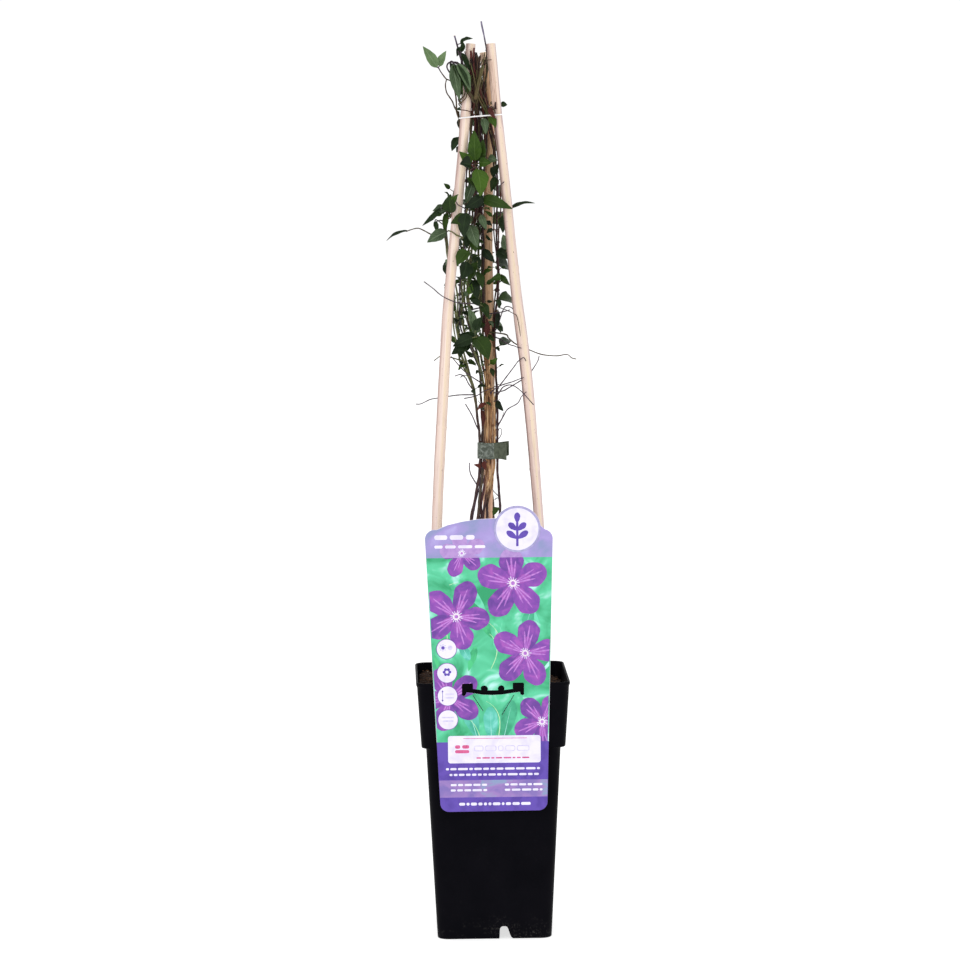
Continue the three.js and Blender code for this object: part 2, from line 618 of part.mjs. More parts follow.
function layTwig([stem, , , points], step) {
  const line = smooth(points, step);
  line[0] = [...at(STEMS[stem].points, points[0][2]), points[0][2]];
  for (let round = 0; round < 40; round += 1) {
    for (let i = 1; i < line.length; i += 1) {
      for (const share of i > 1 ? [0, 0.5] : [0]) {
        const p = line[i].map((v, k) => mix(v, line[i - 1][k], share));
        for (const [d, need, q] of clashes(p, 0.7, stem, 0.5)) {
          const push = Math.min(0.5, need - d) / (d || 1);
          line[i] = add(line[i], sub(p, q), push);
          if (share) line[i - 1] = add(line[i - 1], sub(p, q), push);
        }
      }
    }
  }
  return line;
}

for (const twig of Object.values(TWIGS)) {
  twig.line = layTwig(twig, 5.5);
  takeLine(twig.line, 0.6, twig[0], 1.5);
}

// ---------------------------------------------------------------- leaves
// leaflets toward the front: base x, y, z, tip x, y, z, width, and a twig when one carries it
const LEAFLETS = [
  [-42, -14, 743, -54, -16, 761, 9, "crown_strand"],
  [-40, -14, 744, -34, -17, 757, 7, "crown_strand"], [-22, -1, 763, -11, -4, 767, 4.5],
  [-22, -2, 760, -25, -5, 752, 5], [-21, -3, 751, -21, -6, 762, 4.5],
  [-31, -7, 747, -30, -8, 737, 4.5], [-28, -8, 746, -23, -11, 715, 9.5],
  [-25, -11, 746, -14, -14, 722, 8.5], [-21, -9, 750, -14, -12, 734, 5],
  [-20, -4, 732, -21, -6, 712, 4.5], [12, 5, 712, 18, 5, 711, 5], [-22, -9, 707, -26, -10, 707, 4],
  [-23, -4, 699, -24, -5, 692, 4], [-24, -4, 684, -30, -6, 672, 7], [-23, -4, 676, -26, -5, 671, 5],
  [-3, -5, 700, -1, -9, 686, 7], [2, -6, 702, 7, -9, 692, 7.5], [-10, -9, 664, -11, -12, 690, 12],
  [-6, -8, 664, -3, -11, 682, 10], [-13, -12, 663, -24, -16, 672, 8.5],
  [-14, -12, 660, -24, -16, 661, 13], [-9, -10, 664, -6, -15, 641, 15],
  [-7, -10, 662, 3, -14, 662, 9], [1, -4, 666, 9, -7, 664, 7.5], [5, -3, 650, 11, -6, 661, 8],
  [-7, -8, 640, -18, -11, 650, 7.5], [-13, -6, 644, -19, -9, 628, 8.5],
  [-5, -11, 644, -14, -14, 638, 9.5], [-4, -9, 634, -20, -13, 624, 11],
  [-5, -11, 632, 21, -21, 623, 10.5], [19, 2, 622, 41, 2, 628, 4.5], [7, -4, 650, 3, -7, 637, 6.5],
  [-31, -20, 620, -32, -22, 636, 13.5], [-30, -23, 627, -25, -25, 636, 6],
  [-40, -10, 624, -56, -12, 609, 5], [-35, -7, 621, -47, -9, 622, 10.5],
  [-35, -5, 620, -37, -7, 603, 5.5], [-45, -9, 613, -43, -10, 603, 4.5],
  [-35, -8, 604, -52, -9, 595, 10.5], [-17, -16, 620, -32, -20, 615, 10.5],
  [-18, -13, 620, -21, -16, 599, 12], [-15, -8, 609, -9, -12, 590, 11],
  [-18, -2, 603, -18, -4, 589, 7.5], [-13, -5, 596, -10, -8, 586, 7.5],
  [-6, -5, 618, -1, -8, 605, 6.5], [-2, 1, 612, 4, -1, 608, 4.5], [5, 1, 605, -1, -1, 602, 4.5],
  [14, 2, 617, 13, 0, 602, 7.5], [16, 2, 588, 13, 1, 601, 9.5], [8, 8, 586, 19, 4, 580, 12],
  [-4, 3, 588, 6, -1, 577, 7.5], [-16, -14, 587, -27, -19, 575, 12.5],
  [-33, -6, 579, -35, -7, 565, 8.5], [-18, -6, 578, -23, -9, 563, 13],
  [-9, -3, 577, -16, -7, 559, 9.5], [-12, 6, 582, -7, 4, 571, 7.5], [-10, 4, 569, -5, 1, 554, 8],
  [-14, 6, 562, -9, 3, 545, 9], [11, 7, 566, 2, 1, 562, 6.5], [11, 9, 566, 19, 6, 557, 5.5],
  [-7, 4, 567, -5, 1, 556, 5.5], [-16, 3, 550, -14, 1, 559, 5.5], [-7, 5, 541, -16, 2, 546, 5],
  [-6, 6, 542, 0, 2, 529, 8], [8, 14, 545, 10, 12, 537, 5.5], [9, 16, 535, 7, 14, 518, 4.5],
  [9, 18, 521, 13, 16, 517, 5.5], [6, 16, 503, 10, 14, 500, 4.5], [-12, -1, 513, 0, -7, 494, 16.5],
  [-12, -3, 514, -26, -6, 516, 8.5], [-14, -6, 513, -31, -11, 506, 10.5],
  [-16, -3, 509, -32, -8, 499, 11], [-19, -7, 507, -25, -10, 496, 8.5],
  [-11, 5, 514, -18, 3, 541, 7.5], [-8, 3, 517, -13, 1, 536, 7], [-11, 1, 519, -5, -1, 531, 8.5],
  [-2, 9, 514, -1, 7, 529, 5.5], [-6, 20, 450, -5, 18, 433, 4.5], [-2, 20, 455, -10, 18, 449, 4.5],
  [7, 21, 457, 13, 18, 448, 6], [-7, 21, 399, -13, 19, 402, 4], [-4, 21, 405, -3, 19, 397, 4.5],
  [8, 11, 365, 3, 9, 358, 6], [-68, -9, 605, -87, -9, 597, 3.5, "left_arm"],
];

// pairs of leaves toward the back: stem, height, way they face in degrees, stalk, blade, width
const BACK_PAIRS = [
  [7, 500, 100, 9, 18, 11], [6, 518, 120, 9, 19, 12], [7, 540, 80, 10, 21, 13],
  [6, 556, 130, 10, 21, 13], [7, 572, 95, 10, 22, 14], [6, 588, 130, 10, 21, 13],
  [7, 606, 90, 10, 21, 13], [6, 622, 135, 10, 21, 13], [7, 638, 80, 11, 22, 14],
  [6, 654, 120, 10, 21, 13], [7, 672, 85, 10, 20, 12], [6, 690, 110, 9, 19, 12],
  [6, 714, 110, 8, 17, 10], [6, 734, 110, 7, 15, 10],
];

const profile = (s) =>
  Math.max(0.12, 1.06 * Math.sin(Math.PI * s ** 0.75) ** 0.85 * (1 - 0.18 * s));

// a leaf blade as a function of the way along it (0 to 1) and across it (-1 to 1)
function blade(base, tip, width, facing, roll) {
  const along = unit(sub(tip, base));
  const long = size(sub(tip, base));
  let across = cross(along, facing);
  across = size(across) < 0.2 ? unit(cross(along, [1, 0.2, 0])) : unit(across);
  let up = cross(across, along);
  if (dot(up, facing) < 0) up = up.map((v) => -v);
  const c = Math.cos(roll);
  const s = Math.sin(roll);
  const a = add(across.map((v) => v * c), up, s);
  const n = add(up.map((v) => v * c), across, -s);
  const point = (t, u, lift = 0) => {
    const half = t >= 1 ? 0 : (width / 2) * profile(t);
    const arch = 0.12 * long * Math.sin(Math.PI * t) + 0.26 * Math.abs(u) * half + lift;
    return add(add(add(base, along, long * t), n, arch), a, u * half);
  };
  return { point, along, across: a };
}

// stalk and blade as one closed skin: three-sided stalk, six-sided blade sections, two-point tip
function leafBody(line, leaf) {
  const stalkRings = [0, 2, 4].map((i) => {
    const t = unit(sub(line[i + 1], line[Math.max(0, i - 1)]));
    const side = unit(add(leaf.across, t, -dot(leaf.across, t)));
    const top = add(line[i], cross(side, t), 0.6);
    const under = add(line[i], cross(side, t), -0.3);
    return [add(under, side, -0.55), top, add(under, side, 0.55)];
  });
  const h = BLADE_THICK / 2;
  const sections = [0.3, 0.68].map((t) =>
    [[-1, h], [0, h], [1, h], [1, -h], [0, -h], [-1, -h]].map(([u, lift]) => leaf.point(t, u, lift)));
  const points = [...stalkRings.flat(), ...sections.flat(), leaf.point(1, 0, h), leaf.point(1, 0, -h)];
  const faces = [[0, 2, 1]];
  for (const k of [0, 3]) {
    for (let i = 0; i < 3; i += 1) {
      const j = (i + 1) % 3;
      faces.push([k + i, k + j, k + 3 + j], [k + i, k + 3 + j, k + 3 + i]);
    }
  }
  // 6 left, 7 top and 8 right of the stalk end meet the first section, 9 to 14
  faces.push(
    [6, 7, 10], [6, 10, 9], [7, 8, 11], [7, 11, 10], [8, 12, 11],
    [8, 13, 12], [8, 6, 13], [6, 14, 13], [6, 9, 14],
  );
  for (let i = 0; i < 6; i += 1) {
    const j = (i + 1) % 6;
    faces.push([9 + i, 9 + j, 15 + j], [9 + i, 15 + j, 15 + i]);
  }
  faces.push(
    [15, 16, 21], [16, 17, 21], [17, 18, 22], [17, 22, 21],
    [18, 19, 22], [19, 20, 22], [20, 15, 21], [20, 21, 22],
  );
  return solid(points, faces);
}

function stalk(from, base, along, start) {
  const reach = size(sub(base, from));
  const a = add(from, start, reach * 0.4);
  const b = add(base, along, -reach * 0.3);
  const end = add(base, along, 2);
  const curve = [];
  for (let i = 0; i < 5; i += 1) {
    const t = i / 4;
    const m = 1 - t;
    curve.push([0, 1, 2].map((k) =>
      m * m * m * from[k] + 3 * m * m * t * a[k] + 3 * m * t * t * b[k] + t * t * t * base[k]));
  }
  return [...curve, end];
}

function fits(line, leaf, owner) {
  for (let i = 0; i + 1 < line.length; i += 1) {
    for (let j = 0; j < 3; j += 1) {
      const p = line[i].map((v, k) => mix(v, line[i + 1][k], j / 3));
      if (clashes(p, 0.6, owner, 0.35).length) return false;
    }
  }
  for (let i = 0; i < 9; i += 1) {
    for (let j = -2; j <= 2; j += 1) {
      const t = (i + 0.5) / 8.6;
      if (clashes(leaf.point(Math.min(1, t), j / 2), 1.3, owner, 0.3).length) return false;
    }
  }
  return true;
}

function claim(line, leaf, owner) {
  takeLine(line, 0.6, owner, 1.5);
  for (let i = 0; i < 9; i += 1) {
    for (let j = -2; j <= 2; j += 1) {
      take(leaf.point(Math.min(1, (i + 0.5) / 8.6), j / 2), 1.3, owner);
    }
  }
}

const SHIFTS = [
  [0, 0], [-3, 0], [3, 0], [-6, 0], [0, 4], [0, -4], [6, 0], [-3, 5], [-3, -5], [-9, 0],
  [3, 5], [3, -5], [-6, 7], [-6, -7], [9, 0],
];
const LEAVES = [];

function growLeaflet([bx, by, bz, tx, ty, tz, width, twig], draw) {
  const roll = (draw() - 0.5) * 1.1;
  const facing = unit([0.15 * (draw() - 0.5), -1, 0.35]);
  const reach = (stem) => {
    const [x, y] = at(stem.points, bz);
    return bz > stem.top ? 1000 : Math.hypot(x - bx, y - by);
  };
  const order = twig
    ? [TWIGS[twig][0]]
    : STEMS.map((_, i) => i).sort((a, b) => reach(STEMS[a]) - reach(STEMS[b])).slice(0, 3);
  for (const owner of order) {
    for (const [dy, dz] of twig ? [[0, 0]] : SHIFTS) {
      const base = [bx, by + dy, bz + dz];
      const tip = [tx, ty + dy, tz + dz];
      const leaf = blade(base, tip, width, facing, roll);
      let from;
      if (twig) {
        from = TWIGS[twig].line[TWIGS[twig].line.length - 1];
      } else {
        const stem = STEMS[owner];
        const low = Math.min(stem.top - 3, base[2] - 0.35 * reach(stem));
        from = [...at(stem.points, low), low];
      }
      const out = sub(base, from);
      const start = unit([out[0], out[1], Math.abs(out[2]) + 2]);
      const line = stalk(from, base, leaf.along, start);
      if (fits(line, leaf, owner)) {
        claim(line, leaf, owner);
        LEAVES.push({ owner, line, leaf, width });
        return;
      }
    }
  }
}

function growBack([owner, z, way, reach, long, width, side], draw) {
  const stem = STEMS[owner];
  const from = [...at(stem.points, z), z];
  const tilt = (draw() - 0.6) * 0.9;
  const roll = (draw() - 0.5) * 0.9;
  for (const turn of [0, 18, -18, 36, -36, 54, -54, 75, -75, 100, -100]) {
    const a = (way + side * 46 + turn) * Math.PI / 180;
    const out = [Math.cos(a), Math.sin(a), 0];
    const base = add(add(from, out, reach), [0, 0, 1], 3.5);
    const along = unit([out[0], out[1], tilt]);
    const tip = add(base, along, long);
    if (tip[0] <= at(CANES[0].path, z)[0] - 2 || tip[0] >= at(CANES[1].path, z)[0] + 2) continue;
    const facing = unit([0.4 * out[0], 0.4 * out[1] - 0.7, 0.7]);
    const leaf = blade(base, tip, width, facing, roll);
    const line = stalk(from, base, leaf.along, unit([out[0], out[1], 0.5]));
    if (fits(line, leaf, owner)) {
      claim(line, leaf, owner);
      LEAVES.push({ owner, line, leaf, width });
      return;
    }
  }
}

const draw = randomFrom(20417);
for (const item of LEAFLETS) growLeaflet(item, draw);
for (const item of BACK_PAIRS) {
  growBack([...item, 1], draw);
  growBack([...item, -1], draw);
}

function vineBody(index) {
  const stem = STEMS[index];
  const last = stem.points.length - 1;
  let body = tube(stem.points, (t) => stem.radius(levelZ(t * last)), 4);
  for (const twig of Object.values(TWIGS)) {
    if (twig[0] === index) body = body.add(tube(twig.line, (t) => mix(twig[1], twig[2], t), 3));
  }
  for (const { owner, line, leaf } of LEAVES) {
    if (owner !== index) continue;
    body = body.add(leafBody(line, leaf));
  }
  return body;
}

// ---------------------------------------------------------------- soil
const soilHeight = (x, y) =>
  SOIL_TOP - 0.05 * x + 0.015 * y + 1.1 * Math.sin(x * 0.19 + 1.1) * Math.cos(y * 0.17) +
  0.7 * Math.sin(x * 0.41 + y * 0.33);

function soilBody() {
  const wall = POT_CORNER - POT_WALL - CLEAR;
  const inner = (z) => potOuter(z) - POT_WALL - CLEAR;
  const rings = [
    roundedSquare(inner(FLOOR_TOP), FLOOR_TOP + CLEAR, wall),
    roundedSquare(POT_WAIST - POT_WALL - CLEAR, COLLAR_Z + 0.9, wall),
    roundedSquare(COLLAR_FOOT - POT_WALL - CLEAR, COLLAR_Z + 2.1, wall),
  ];
  const edge = roundedSquare(inner(SOIL_TOP - 4), 0, wall);
  for (const share of [1, 0.86, 0.7, 0.52, 0.34, 0.16]) {
    rings.push(edge.map(([x, y]) => {
      const drop = share === 1 ? 1.5 : 0;
      return [x * share, y * share, soilHeight(x * share, y * share) - drop];
    }));
  }
  let body = loft(rings);
  for (const cane of CANES) {
    const line = [14.7, 77, 139, 201, 263].map((z) => [...at(cane.path, z), z]);
    body = body.subtract(tube(line, (t) => caneRadius(cane, 263 * t) + 0.28 + CLEAR, 9));
  }
  for (const stem of STEMS) {
    const foot = stem.points[0];
    const line = [[foot[0], foot[1], foot[2] - CLEAR], ...stem.points.slice(1, 4)];
    body = body.subtract(tube(line, () => stem.foot + CLEAR + 0.1, 6));
  }
  return body;
}

// ---------------------------------------------------------------- label
const arc = (cx, cy, r, from, to, count) =>
  Array.from({ length: count + 1 }, (_, i) => {
    const a = mix(from, to, i / count) * Math.PI / 180;
    return new THREE.Vector2(cx + r * Math.cos(a), cy + r * Math.sin(a));
  });

const LABEL_EDGE = [
  ...arc(-38.4, 120.6, 7.6, 184, 270, 5),
  ...arc(37.6, 121, 7.6, 270, 356, 5),
  ...arc(42.8, 346.6, 8.2, 0, 78, 5),
  ...arc(21, 355, 20, 8, 152, 14),
  new THREE.Vector2(-12, 363.8), new THREE.Vector2(-25, 362), new THREE.Vector2(-38, 359),
  ...arc(-48.8, 347, 8.2, 78, 180, 5),
];
const LABEL_SLOT = [
  [-26.8, 222.6], [-26, 223.4], [-17.4, 223.6], [-17.4, 218.9], [-10.6, 217.9], [-10.9, 219.8],
  [-9.9, 221.3], [-7.8, 221.8], [-5.8, 221], [-4.7, 219.3], [-5, 217.5], [3.9, 217.5], [3.6, 219.3],
  [4.6, 221.1], [6.6, 221.8], [8.4, 221.1], [9.4, 219.3], [9, 217.7], [16.3, 218.5], [16.3, 223.8],
  [25, 223.8], [25.9, 222.9], [25.9, 213.6], [24.6, 212.9], [22.9, 213.6], [22.4, 215.8], [16.5, 215.1],
  [8, 213.8], [-0.5, 213.4], [-9, 213.7], [-17.4, 215.2], [-22.8, 216], [-23.9, 213.4], [-25.2, 212.6],
  [-26.8, 213.4],
].map(([x, z]) => new THREE.Vector2(x, z));
const LABEL_SLITS = [
  [[-17.8, 213.2], [-17.3, 213.5], [-8.7, 200], [-9.2, 199.7]],
  [[17.1, 213.5], [17.6, 213.2], [7.2, 196], [6.7, 196.3]],
].map((slit) => slit.map(([x, z]) => new THREE.Vector2(x, z)));

function labelBody() {
  const shape = new THREE.Shape(LABEL_EDGE);
  shape.holes.push(new THREE.Path(LABEL_SLOT), ...LABEL_SLITS.map((slit) => new THREE.Path(slit)));
  const plate = new THREE.ExtrudeGeometry(shape, { depth: LABEL_THICK, bevelEnabled: false });
  const p = plate.attributes.position;
  for (let i = 0; i < p.count; i += 1) {
    const z = p.getY(i);
    p.setXYZ(i, p.getX(i), LABEL_Y - LABEL_LEAN * (z - POT_HEIGHT) - p.getZ(i), z);
  }
  let body = solidOf(plate);
  for (const [left, right] of [[-26.7, -18.3], [16.3, 24.7]]) {
    const hook = new THREE.Shape([
      [-66.2, 224.05], [-63.2, 224.05], [-62.8, 223.6], [-62.75, 216.8], [-62.15, 216.8],
      [-62.15, 224.2], [-62.6, 224.65], [-66.2, 224.65],
    ].map(([y, z]) => new THREE.Vector2(y, z)));
    const tab = new THREE.ExtrudeGeometry(hook, { depth: right - left, bevelEnabled: false });
    const q = tab.attributes.position;
    for (let i = 0; i < q.count; i += 1) {
      q.setXYZ(i, left + q.getZ(i), q.getX(i), q.getY(i));
    }
    body = body.add(solidOf(tab));
  }
  return body;
}

// ---------------------------------------------------------------- the whole
const group = new THREE.Group();
group.name = "potted_climber";

// faces of the largest joined skin, leaving out stray slivers of a join
function mainSkin(indices, count) {
  const parent = Array.from({ length: count }, (_, i) => i);
  const root = (i) => {
    let r = i;
    while (parent[r] !== r) r = parent[r];
    while (parent[i] !== r) [parent[i], i] = [r, parent[i]];
    return r;
  };
  for (let i = 0; i < indices.length; i += 3) {
    parent[root(indices[i])] = root(indices[i + 1]);
    parent[root(indices[i])] = root(indices[i + 2]);
  }
  const sizes = new Map();
  for (const i of indices) sizes.set(root(i), (sizes.get(root(i)) ?? 0) + 1);
  const main = [...sizes].sort((a, b) => b[1] - a[1])[0][0];
  return Array.from(indices).filter((_, i, all) => root(all[i - (i % 3)]) === main);
}

function piece(name, body, color, roughness) {
  const data = body.getMesh();
  const geometry = new THREE.BufferGeometry();
  const stride = data.numProp;
  const points = new Float32Array((data.vertProperties.length / stride) * 3);
  for (let i = 0; i < points.length / 3; i += 1) {
    for (let a = 0; a < 3; a += 1) points[i * 3 + a] = data.vertProperties[i * stride + a];
  }
  geometry.setAttribute("position", new THREE.BufferAttribute(points, 3));
  geometry.setIndex(mainSkin(data.triVerts, points.length / 3));
  geometry.computeVertexNormals();
  const material = new THREE.MeshStandardMaterial({ color, roughness, metalness: 0 });
  material.flatShading = true;
  const mesh = new THREE.Mesh(geometry, material);
  mesh.name = name;
  group.add(mesh);
}

piece("pot", potBody(), 0x101114, 0.45);
piece("soil", soilBody(), 0x2e2119, 0.95);
CANES.forEach((cane, i) => piece(cane.name, caneBody(cane), [0xe6cfb4, 0xe9d3ba, 0xb98f63][i], 0.6));
piece("tie", tieBody(), 0x56695a, 0.4);
piece("band", tube(bandLine, () => BAND_RADIUS, 5, true), 0xf2f0f0, 0.5);
piece("label", labelBody(), 0x9a8ad0, 0.3);
STEMS.forEach((_, i) => piece(`vine_${i + 1}`, vineBody(i), [0x2f4a24, 0x35522a][i % 2], 0.7));

const box = new THREE.Box3().setFromObject(group);
for (const mesh of group.children) {
  mesh.position.set(-(box.min.x + box.max.x) / 2, -(box.min.y + box.max.y) / 2, 0);
}

export default group;
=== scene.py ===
"""Looks of the potted climber on three canes.

Lengths in the plan are millimetres, with the pot's middle at x = y = 0.
"""
import math
from collections import namedtuple
import bmesh
import bpy
import numpy as np
from mathutils import Vector, Matrix, noise, geometry


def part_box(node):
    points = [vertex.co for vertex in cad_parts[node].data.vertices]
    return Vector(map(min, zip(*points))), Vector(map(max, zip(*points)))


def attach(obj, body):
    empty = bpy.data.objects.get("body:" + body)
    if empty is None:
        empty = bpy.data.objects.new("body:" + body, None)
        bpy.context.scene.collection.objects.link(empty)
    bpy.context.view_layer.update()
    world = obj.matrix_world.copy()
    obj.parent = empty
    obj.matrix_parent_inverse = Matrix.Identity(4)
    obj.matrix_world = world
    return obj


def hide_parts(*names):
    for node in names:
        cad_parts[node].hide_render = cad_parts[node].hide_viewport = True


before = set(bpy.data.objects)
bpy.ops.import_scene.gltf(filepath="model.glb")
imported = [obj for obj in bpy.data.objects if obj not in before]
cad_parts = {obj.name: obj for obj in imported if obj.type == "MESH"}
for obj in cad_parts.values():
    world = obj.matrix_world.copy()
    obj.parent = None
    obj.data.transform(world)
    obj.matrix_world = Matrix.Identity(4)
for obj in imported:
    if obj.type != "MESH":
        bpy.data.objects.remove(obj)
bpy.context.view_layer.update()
LO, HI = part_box("pot")
OX, OY = (LO.x + HI.x) * 500, (LO.y + HI.y) * 500

# ------------------------------------------------------------------ camera
# fitted to the photo: turns in degrees, lengths in metres, the lens in pixels of the photo
TURN, PITCH, ROLL = -1.4, 5.37, 0.5
AWAY, ASIDE, CAMERA_HEIGHT = 3.2, -0.0083, 0.691
FOCAL_PIXELS, PHOTO_PIXELS, SENSOR = 3737, 960, 36


def make_camera():
    az, pitch, roll = math.radians(TURN), math.radians(PITCH), math.radians(ROLL)
    right = Vector((math.cos(az), math.sin(az), 0))
    level = Vector((-math.sin(az), math.cos(az), 0))
    ahead = level * math.cos(pitch) + Vector((0, 0, -math.sin(pitch)))
    up = level * math.sin(pitch) + Vector((0, 0, math.cos(pitch)))
    r = right * math.cos(roll) - up * math.sin(roll)
    u = right * math.sin(roll) + up * math.cos(roll)
    cam = bpy.data.objects.new("camera", bpy.data.cameras.new("camera"))
    bpy.context.collection.objects.link(cam)
    cam.data.lens = FOCAL_PIXELS * SENSOR / PHOTO_PIXELS
    cam.data.sensor_width = SENSOR
    cam.data.clip_start, cam.data.clip_end = 0.1, 50
    place = -level * AWAY + right * ASIDE + Vector((OX / 1000, OY / 1000, CAMERA_HEIGHT))
    m = Matrix((r, u, -ahead)).transposed().to_4x4()
    m.translation = place
    cam.matrix_world = m
    bpy.context.scene.camera = cam


make_camera()

# ------------------------------------------------------------------ plan: sizes
POT_HEIGHT, POT_FOOT, POT_WAIST, COLLAR_Z = 223.5, 49, 57.4, 167
COLLAR_FOOT, POT_RIM, POT_WALL, POT_CORNER = 61.4, 65, 1.4, 10
FOOT_RECESS, FLOOR_TOP, NOTCH_HEIGHT, SOIL_TOP = 11, 12.4, 10.8, 212.5
LABEL_THICK, LABEL_LEAN, LABEL_Y = 0.8, 0.033, -65.7
TIE_LOW, TIE_HIGH, TIE_THICK = 406, 420, 0.6
TIE_MIDDLE = (TIE_LOW + TIE_HIGH) / 2
BAND_Z, BAND_TILT, BAND_RADIUS = 701.5, 0.09, 0.6
CLEAR, STEM_FOOT, STEM_STEP, LEVELS = 0.3, 194, 16, 38
STEM_GAP, CANE_GAP, BAND_GAP, PUSHES, TIE_LEVEL = 0.65, 0.7, 2.1, 120, 412
CANE_FOOT, CANE_TOP, BELLY_Z, BELLY_REACH = 15, 763, 490, 90
# where the random draws of the plan, leaves, side shoots, crown and small leaves begin
PLAN_SEED, VINE_SEED, SHOOT_SEED, CROWN_SEED, SMALL_SEED = 20417, 900, 5100, 6100, 7100


def mix(a, b, t):
    return a + (b - a) * t


def groups(width, flat):
    """A plain run of numbers as rows of that many."""
    return [flat[i:i + width] for i in range(0, len(flat), width)]


def xz(*flat):
    return groups(2, flat)


def xyz(*flat):
    return groups(3, flat)


def add(a, b, k=1.0):
    return (a[0] + b[0] * k, a[1] + b[1] * k, a[2] + b[2] * k)


def sub(a, b):
    return (a[0] - b[0], a[1] - b[1], a[2] - b[2])


def dot(a, b):
    return a[0] * b[0] + a[1] * b[1] + a[2] * b[2]


def cross(a, b):
    return (a[1] * b[2] - a[2] * b[1], a[2] * b[0] - a[0] * b[2], a[0] * b[1] - a[1] * b[0])


def size(a):
    return math.sqrt(dot(a, a))


def unit(a):
    s = size(a) or 1
    return (a[0] / s, a[1] / s, a[2] / s)


def random_from(seed):
    """The same draws as the solids' source makes from the same seed."""
    state = [seed & 0xFFFFFFFF]

    def draw():
        state[0] = (state[0] + 0x6D2B79F5) & 0xFFFFFFFF
        t = state[0]
        t = ((t ^ (t >> 15)) * (t | 1)) & 0xFFFFFFFF
        t ^= (t + (((t ^ (t >> 7)) * (t | 61)) & 0xFFFFFFFF)) & 0xFFFFFFFF
        return ((t ^ (t >> 14)) & 0xFFFFFFFF) / 4294967296

    return draw


def at(path, z):
    """x and y of a path at the height z, on a smooth curve through its points."""
    last = len(path) - 1
    if z <= path[0][2]:
        return (path[0][0], path[0][1])
    if z >= path[last][2]:
        return (path[last][0], path[last][1])
    k = 0
    while path[k + 1][2] < z:
        k += 1

    def slope(i, axis):
        a, b = path[max(0, i - 1)], path[min(last, i + 1)]
        return (b[axis] - a[axis]) / (b[2] - a[2])

    h = path[k + 1][2] - path[k][2]
    t = (z - path[k][2]) / h
    return tuple(
        (2 * t ** 3 - 3 * t ** 2 + 1) * path[k][x]
        + (t ** 3 - 2 * t ** 2 + t) * h * slope(k, x)
        + (3 * t ** 2 - 2 * t ** 3) * path[k + 1][x]
        + (t ** 3 - t ** 2) * h * slope(k + 1, x)
        for x in (0, 1)
    )


def point_at(path, z):
    return (*at(path, z), z)


def smooth(points, step):
    """A curve through the points, in steps of about that length."""
    count = len(points) - 1

    def p(i):
        if i < 0:
            return sub(add(points[0], points[0]), points[1])
        if i > count:
            return sub(add(points[count], points[count]), points[count - 1])
        return points[i]

    out = [tuple(points[0])]
    for i in range(count):
        n = max(1, math.floor(size(sub(points[i + 1], points[i])) / step + 0.5))
        for j in range(1, n + 1):
            t = j / n
            a, b, c, d = p(i - 1), p(i), p(i + 1), p(i + 2)
            out.append(tuple(
                0.5 * (2 * b[x] + (c[x] - a[x]) * t
                       + (2 * a[x] - 5 * b[x] + 4 * c[x] - d[x]) * t * t
                       + (3 * b[x] - a[x] - 3 * c[x] + d[x]) * t * t * t)
                for x in range(3)))
    return out


def hull_around(discs, offset, count):
    """A tight loop of that many points round discs, offset outside them."""
    cloud = []
    for x, y, r in discs:
        for i in range(32):
            a = (i / 32) * 2 * math.pi
            cloud.append((x + (r + offset) * math.cos(a), y + (r + offset) * math.sin(a)))
    cloud.sort()

    def turn(o, a, b):
        return (a[0] - o[0]) * (b[1] - o[1]) - (a[1] - o[1]) * (b[0] - o[0])

    def half(points):
        h = []
        for p in points:
            while len(h) > 1 and turn(h[-2], h[-1], p) <= 0:
                h.pop()
            h.append(p)
        return h[:-1]

    hull = half(cloud) + half(cloud[::-1])
    n = len(hull)
    length = [math.dist(hull[i], hull[(i + 1) % n]) for i in range(n)]
    total, out, k, passed = sum(length), [], 0, 0.0
    for i in range(count):
        want = (i / count) * total
        while passed + length[k] < want:
            passed += length[k]
            k += 1
        q, t = hull[(k + 1) % n], (want - passed) / length[k]
        out.append((mix(hull[k][0], q[0], t), mix(hull[k][1], q[1], t)))
    return out


# ------------------------------------------------------------------ plan: canes and stems
Cane = namedtuple("Cane", "name foot_r top_r joints path belly top")
CANES = [Cane(*row) for row in (
    ("cane_left", 4.8, 4.1, (96, 268, 438, 602), xyz(-38,-34,15, -44.5,-37,130, -46,-36.5,224,
        -46.5,-33.5,300, -46,-28.5,357, -39,-21,476, -34,-16,546, -25,-10.5,631, -18,-6,703,
        -13,-3,763), 0.3, 763),
    ("cane_right", 4.2, 4, (120, 236, 402, 573), xyz(37,-33,15, 43,-37,130, 44.5,-36.5,224,
        43.5,-33.5,300, 41,-28.5,357, 32,-21,477, 23,-16,557, 14,-9,656, 9.2,-6,702, 4,-3,763), 0.9, 763),
    ("cane_back", 4.6, 3.9, (64, 214, 386, 596), xyz(-3,37,15, -3,44,130, -2,44,224, -1,38,355,
        1.5,31,466, 1.8,27,520, 0.8,24,568, 1.2,20,626, 3,17,675, 2.8,14.5,715, -2.2,12,763), 0.2, 756),
)]
LEFT, RIGHT, BACK = CANES


def cane_radius(cane, z):
    taper = mix(cane.foot_r, cane.top_r, min(1, max(0, (z - CANE_FOOT) / (CANE_TOP - CANE_FOOT))))
    return taper + cane.belly * math.exp(-((z - BELLY_Z) / BELLY_REACH) ** 2)


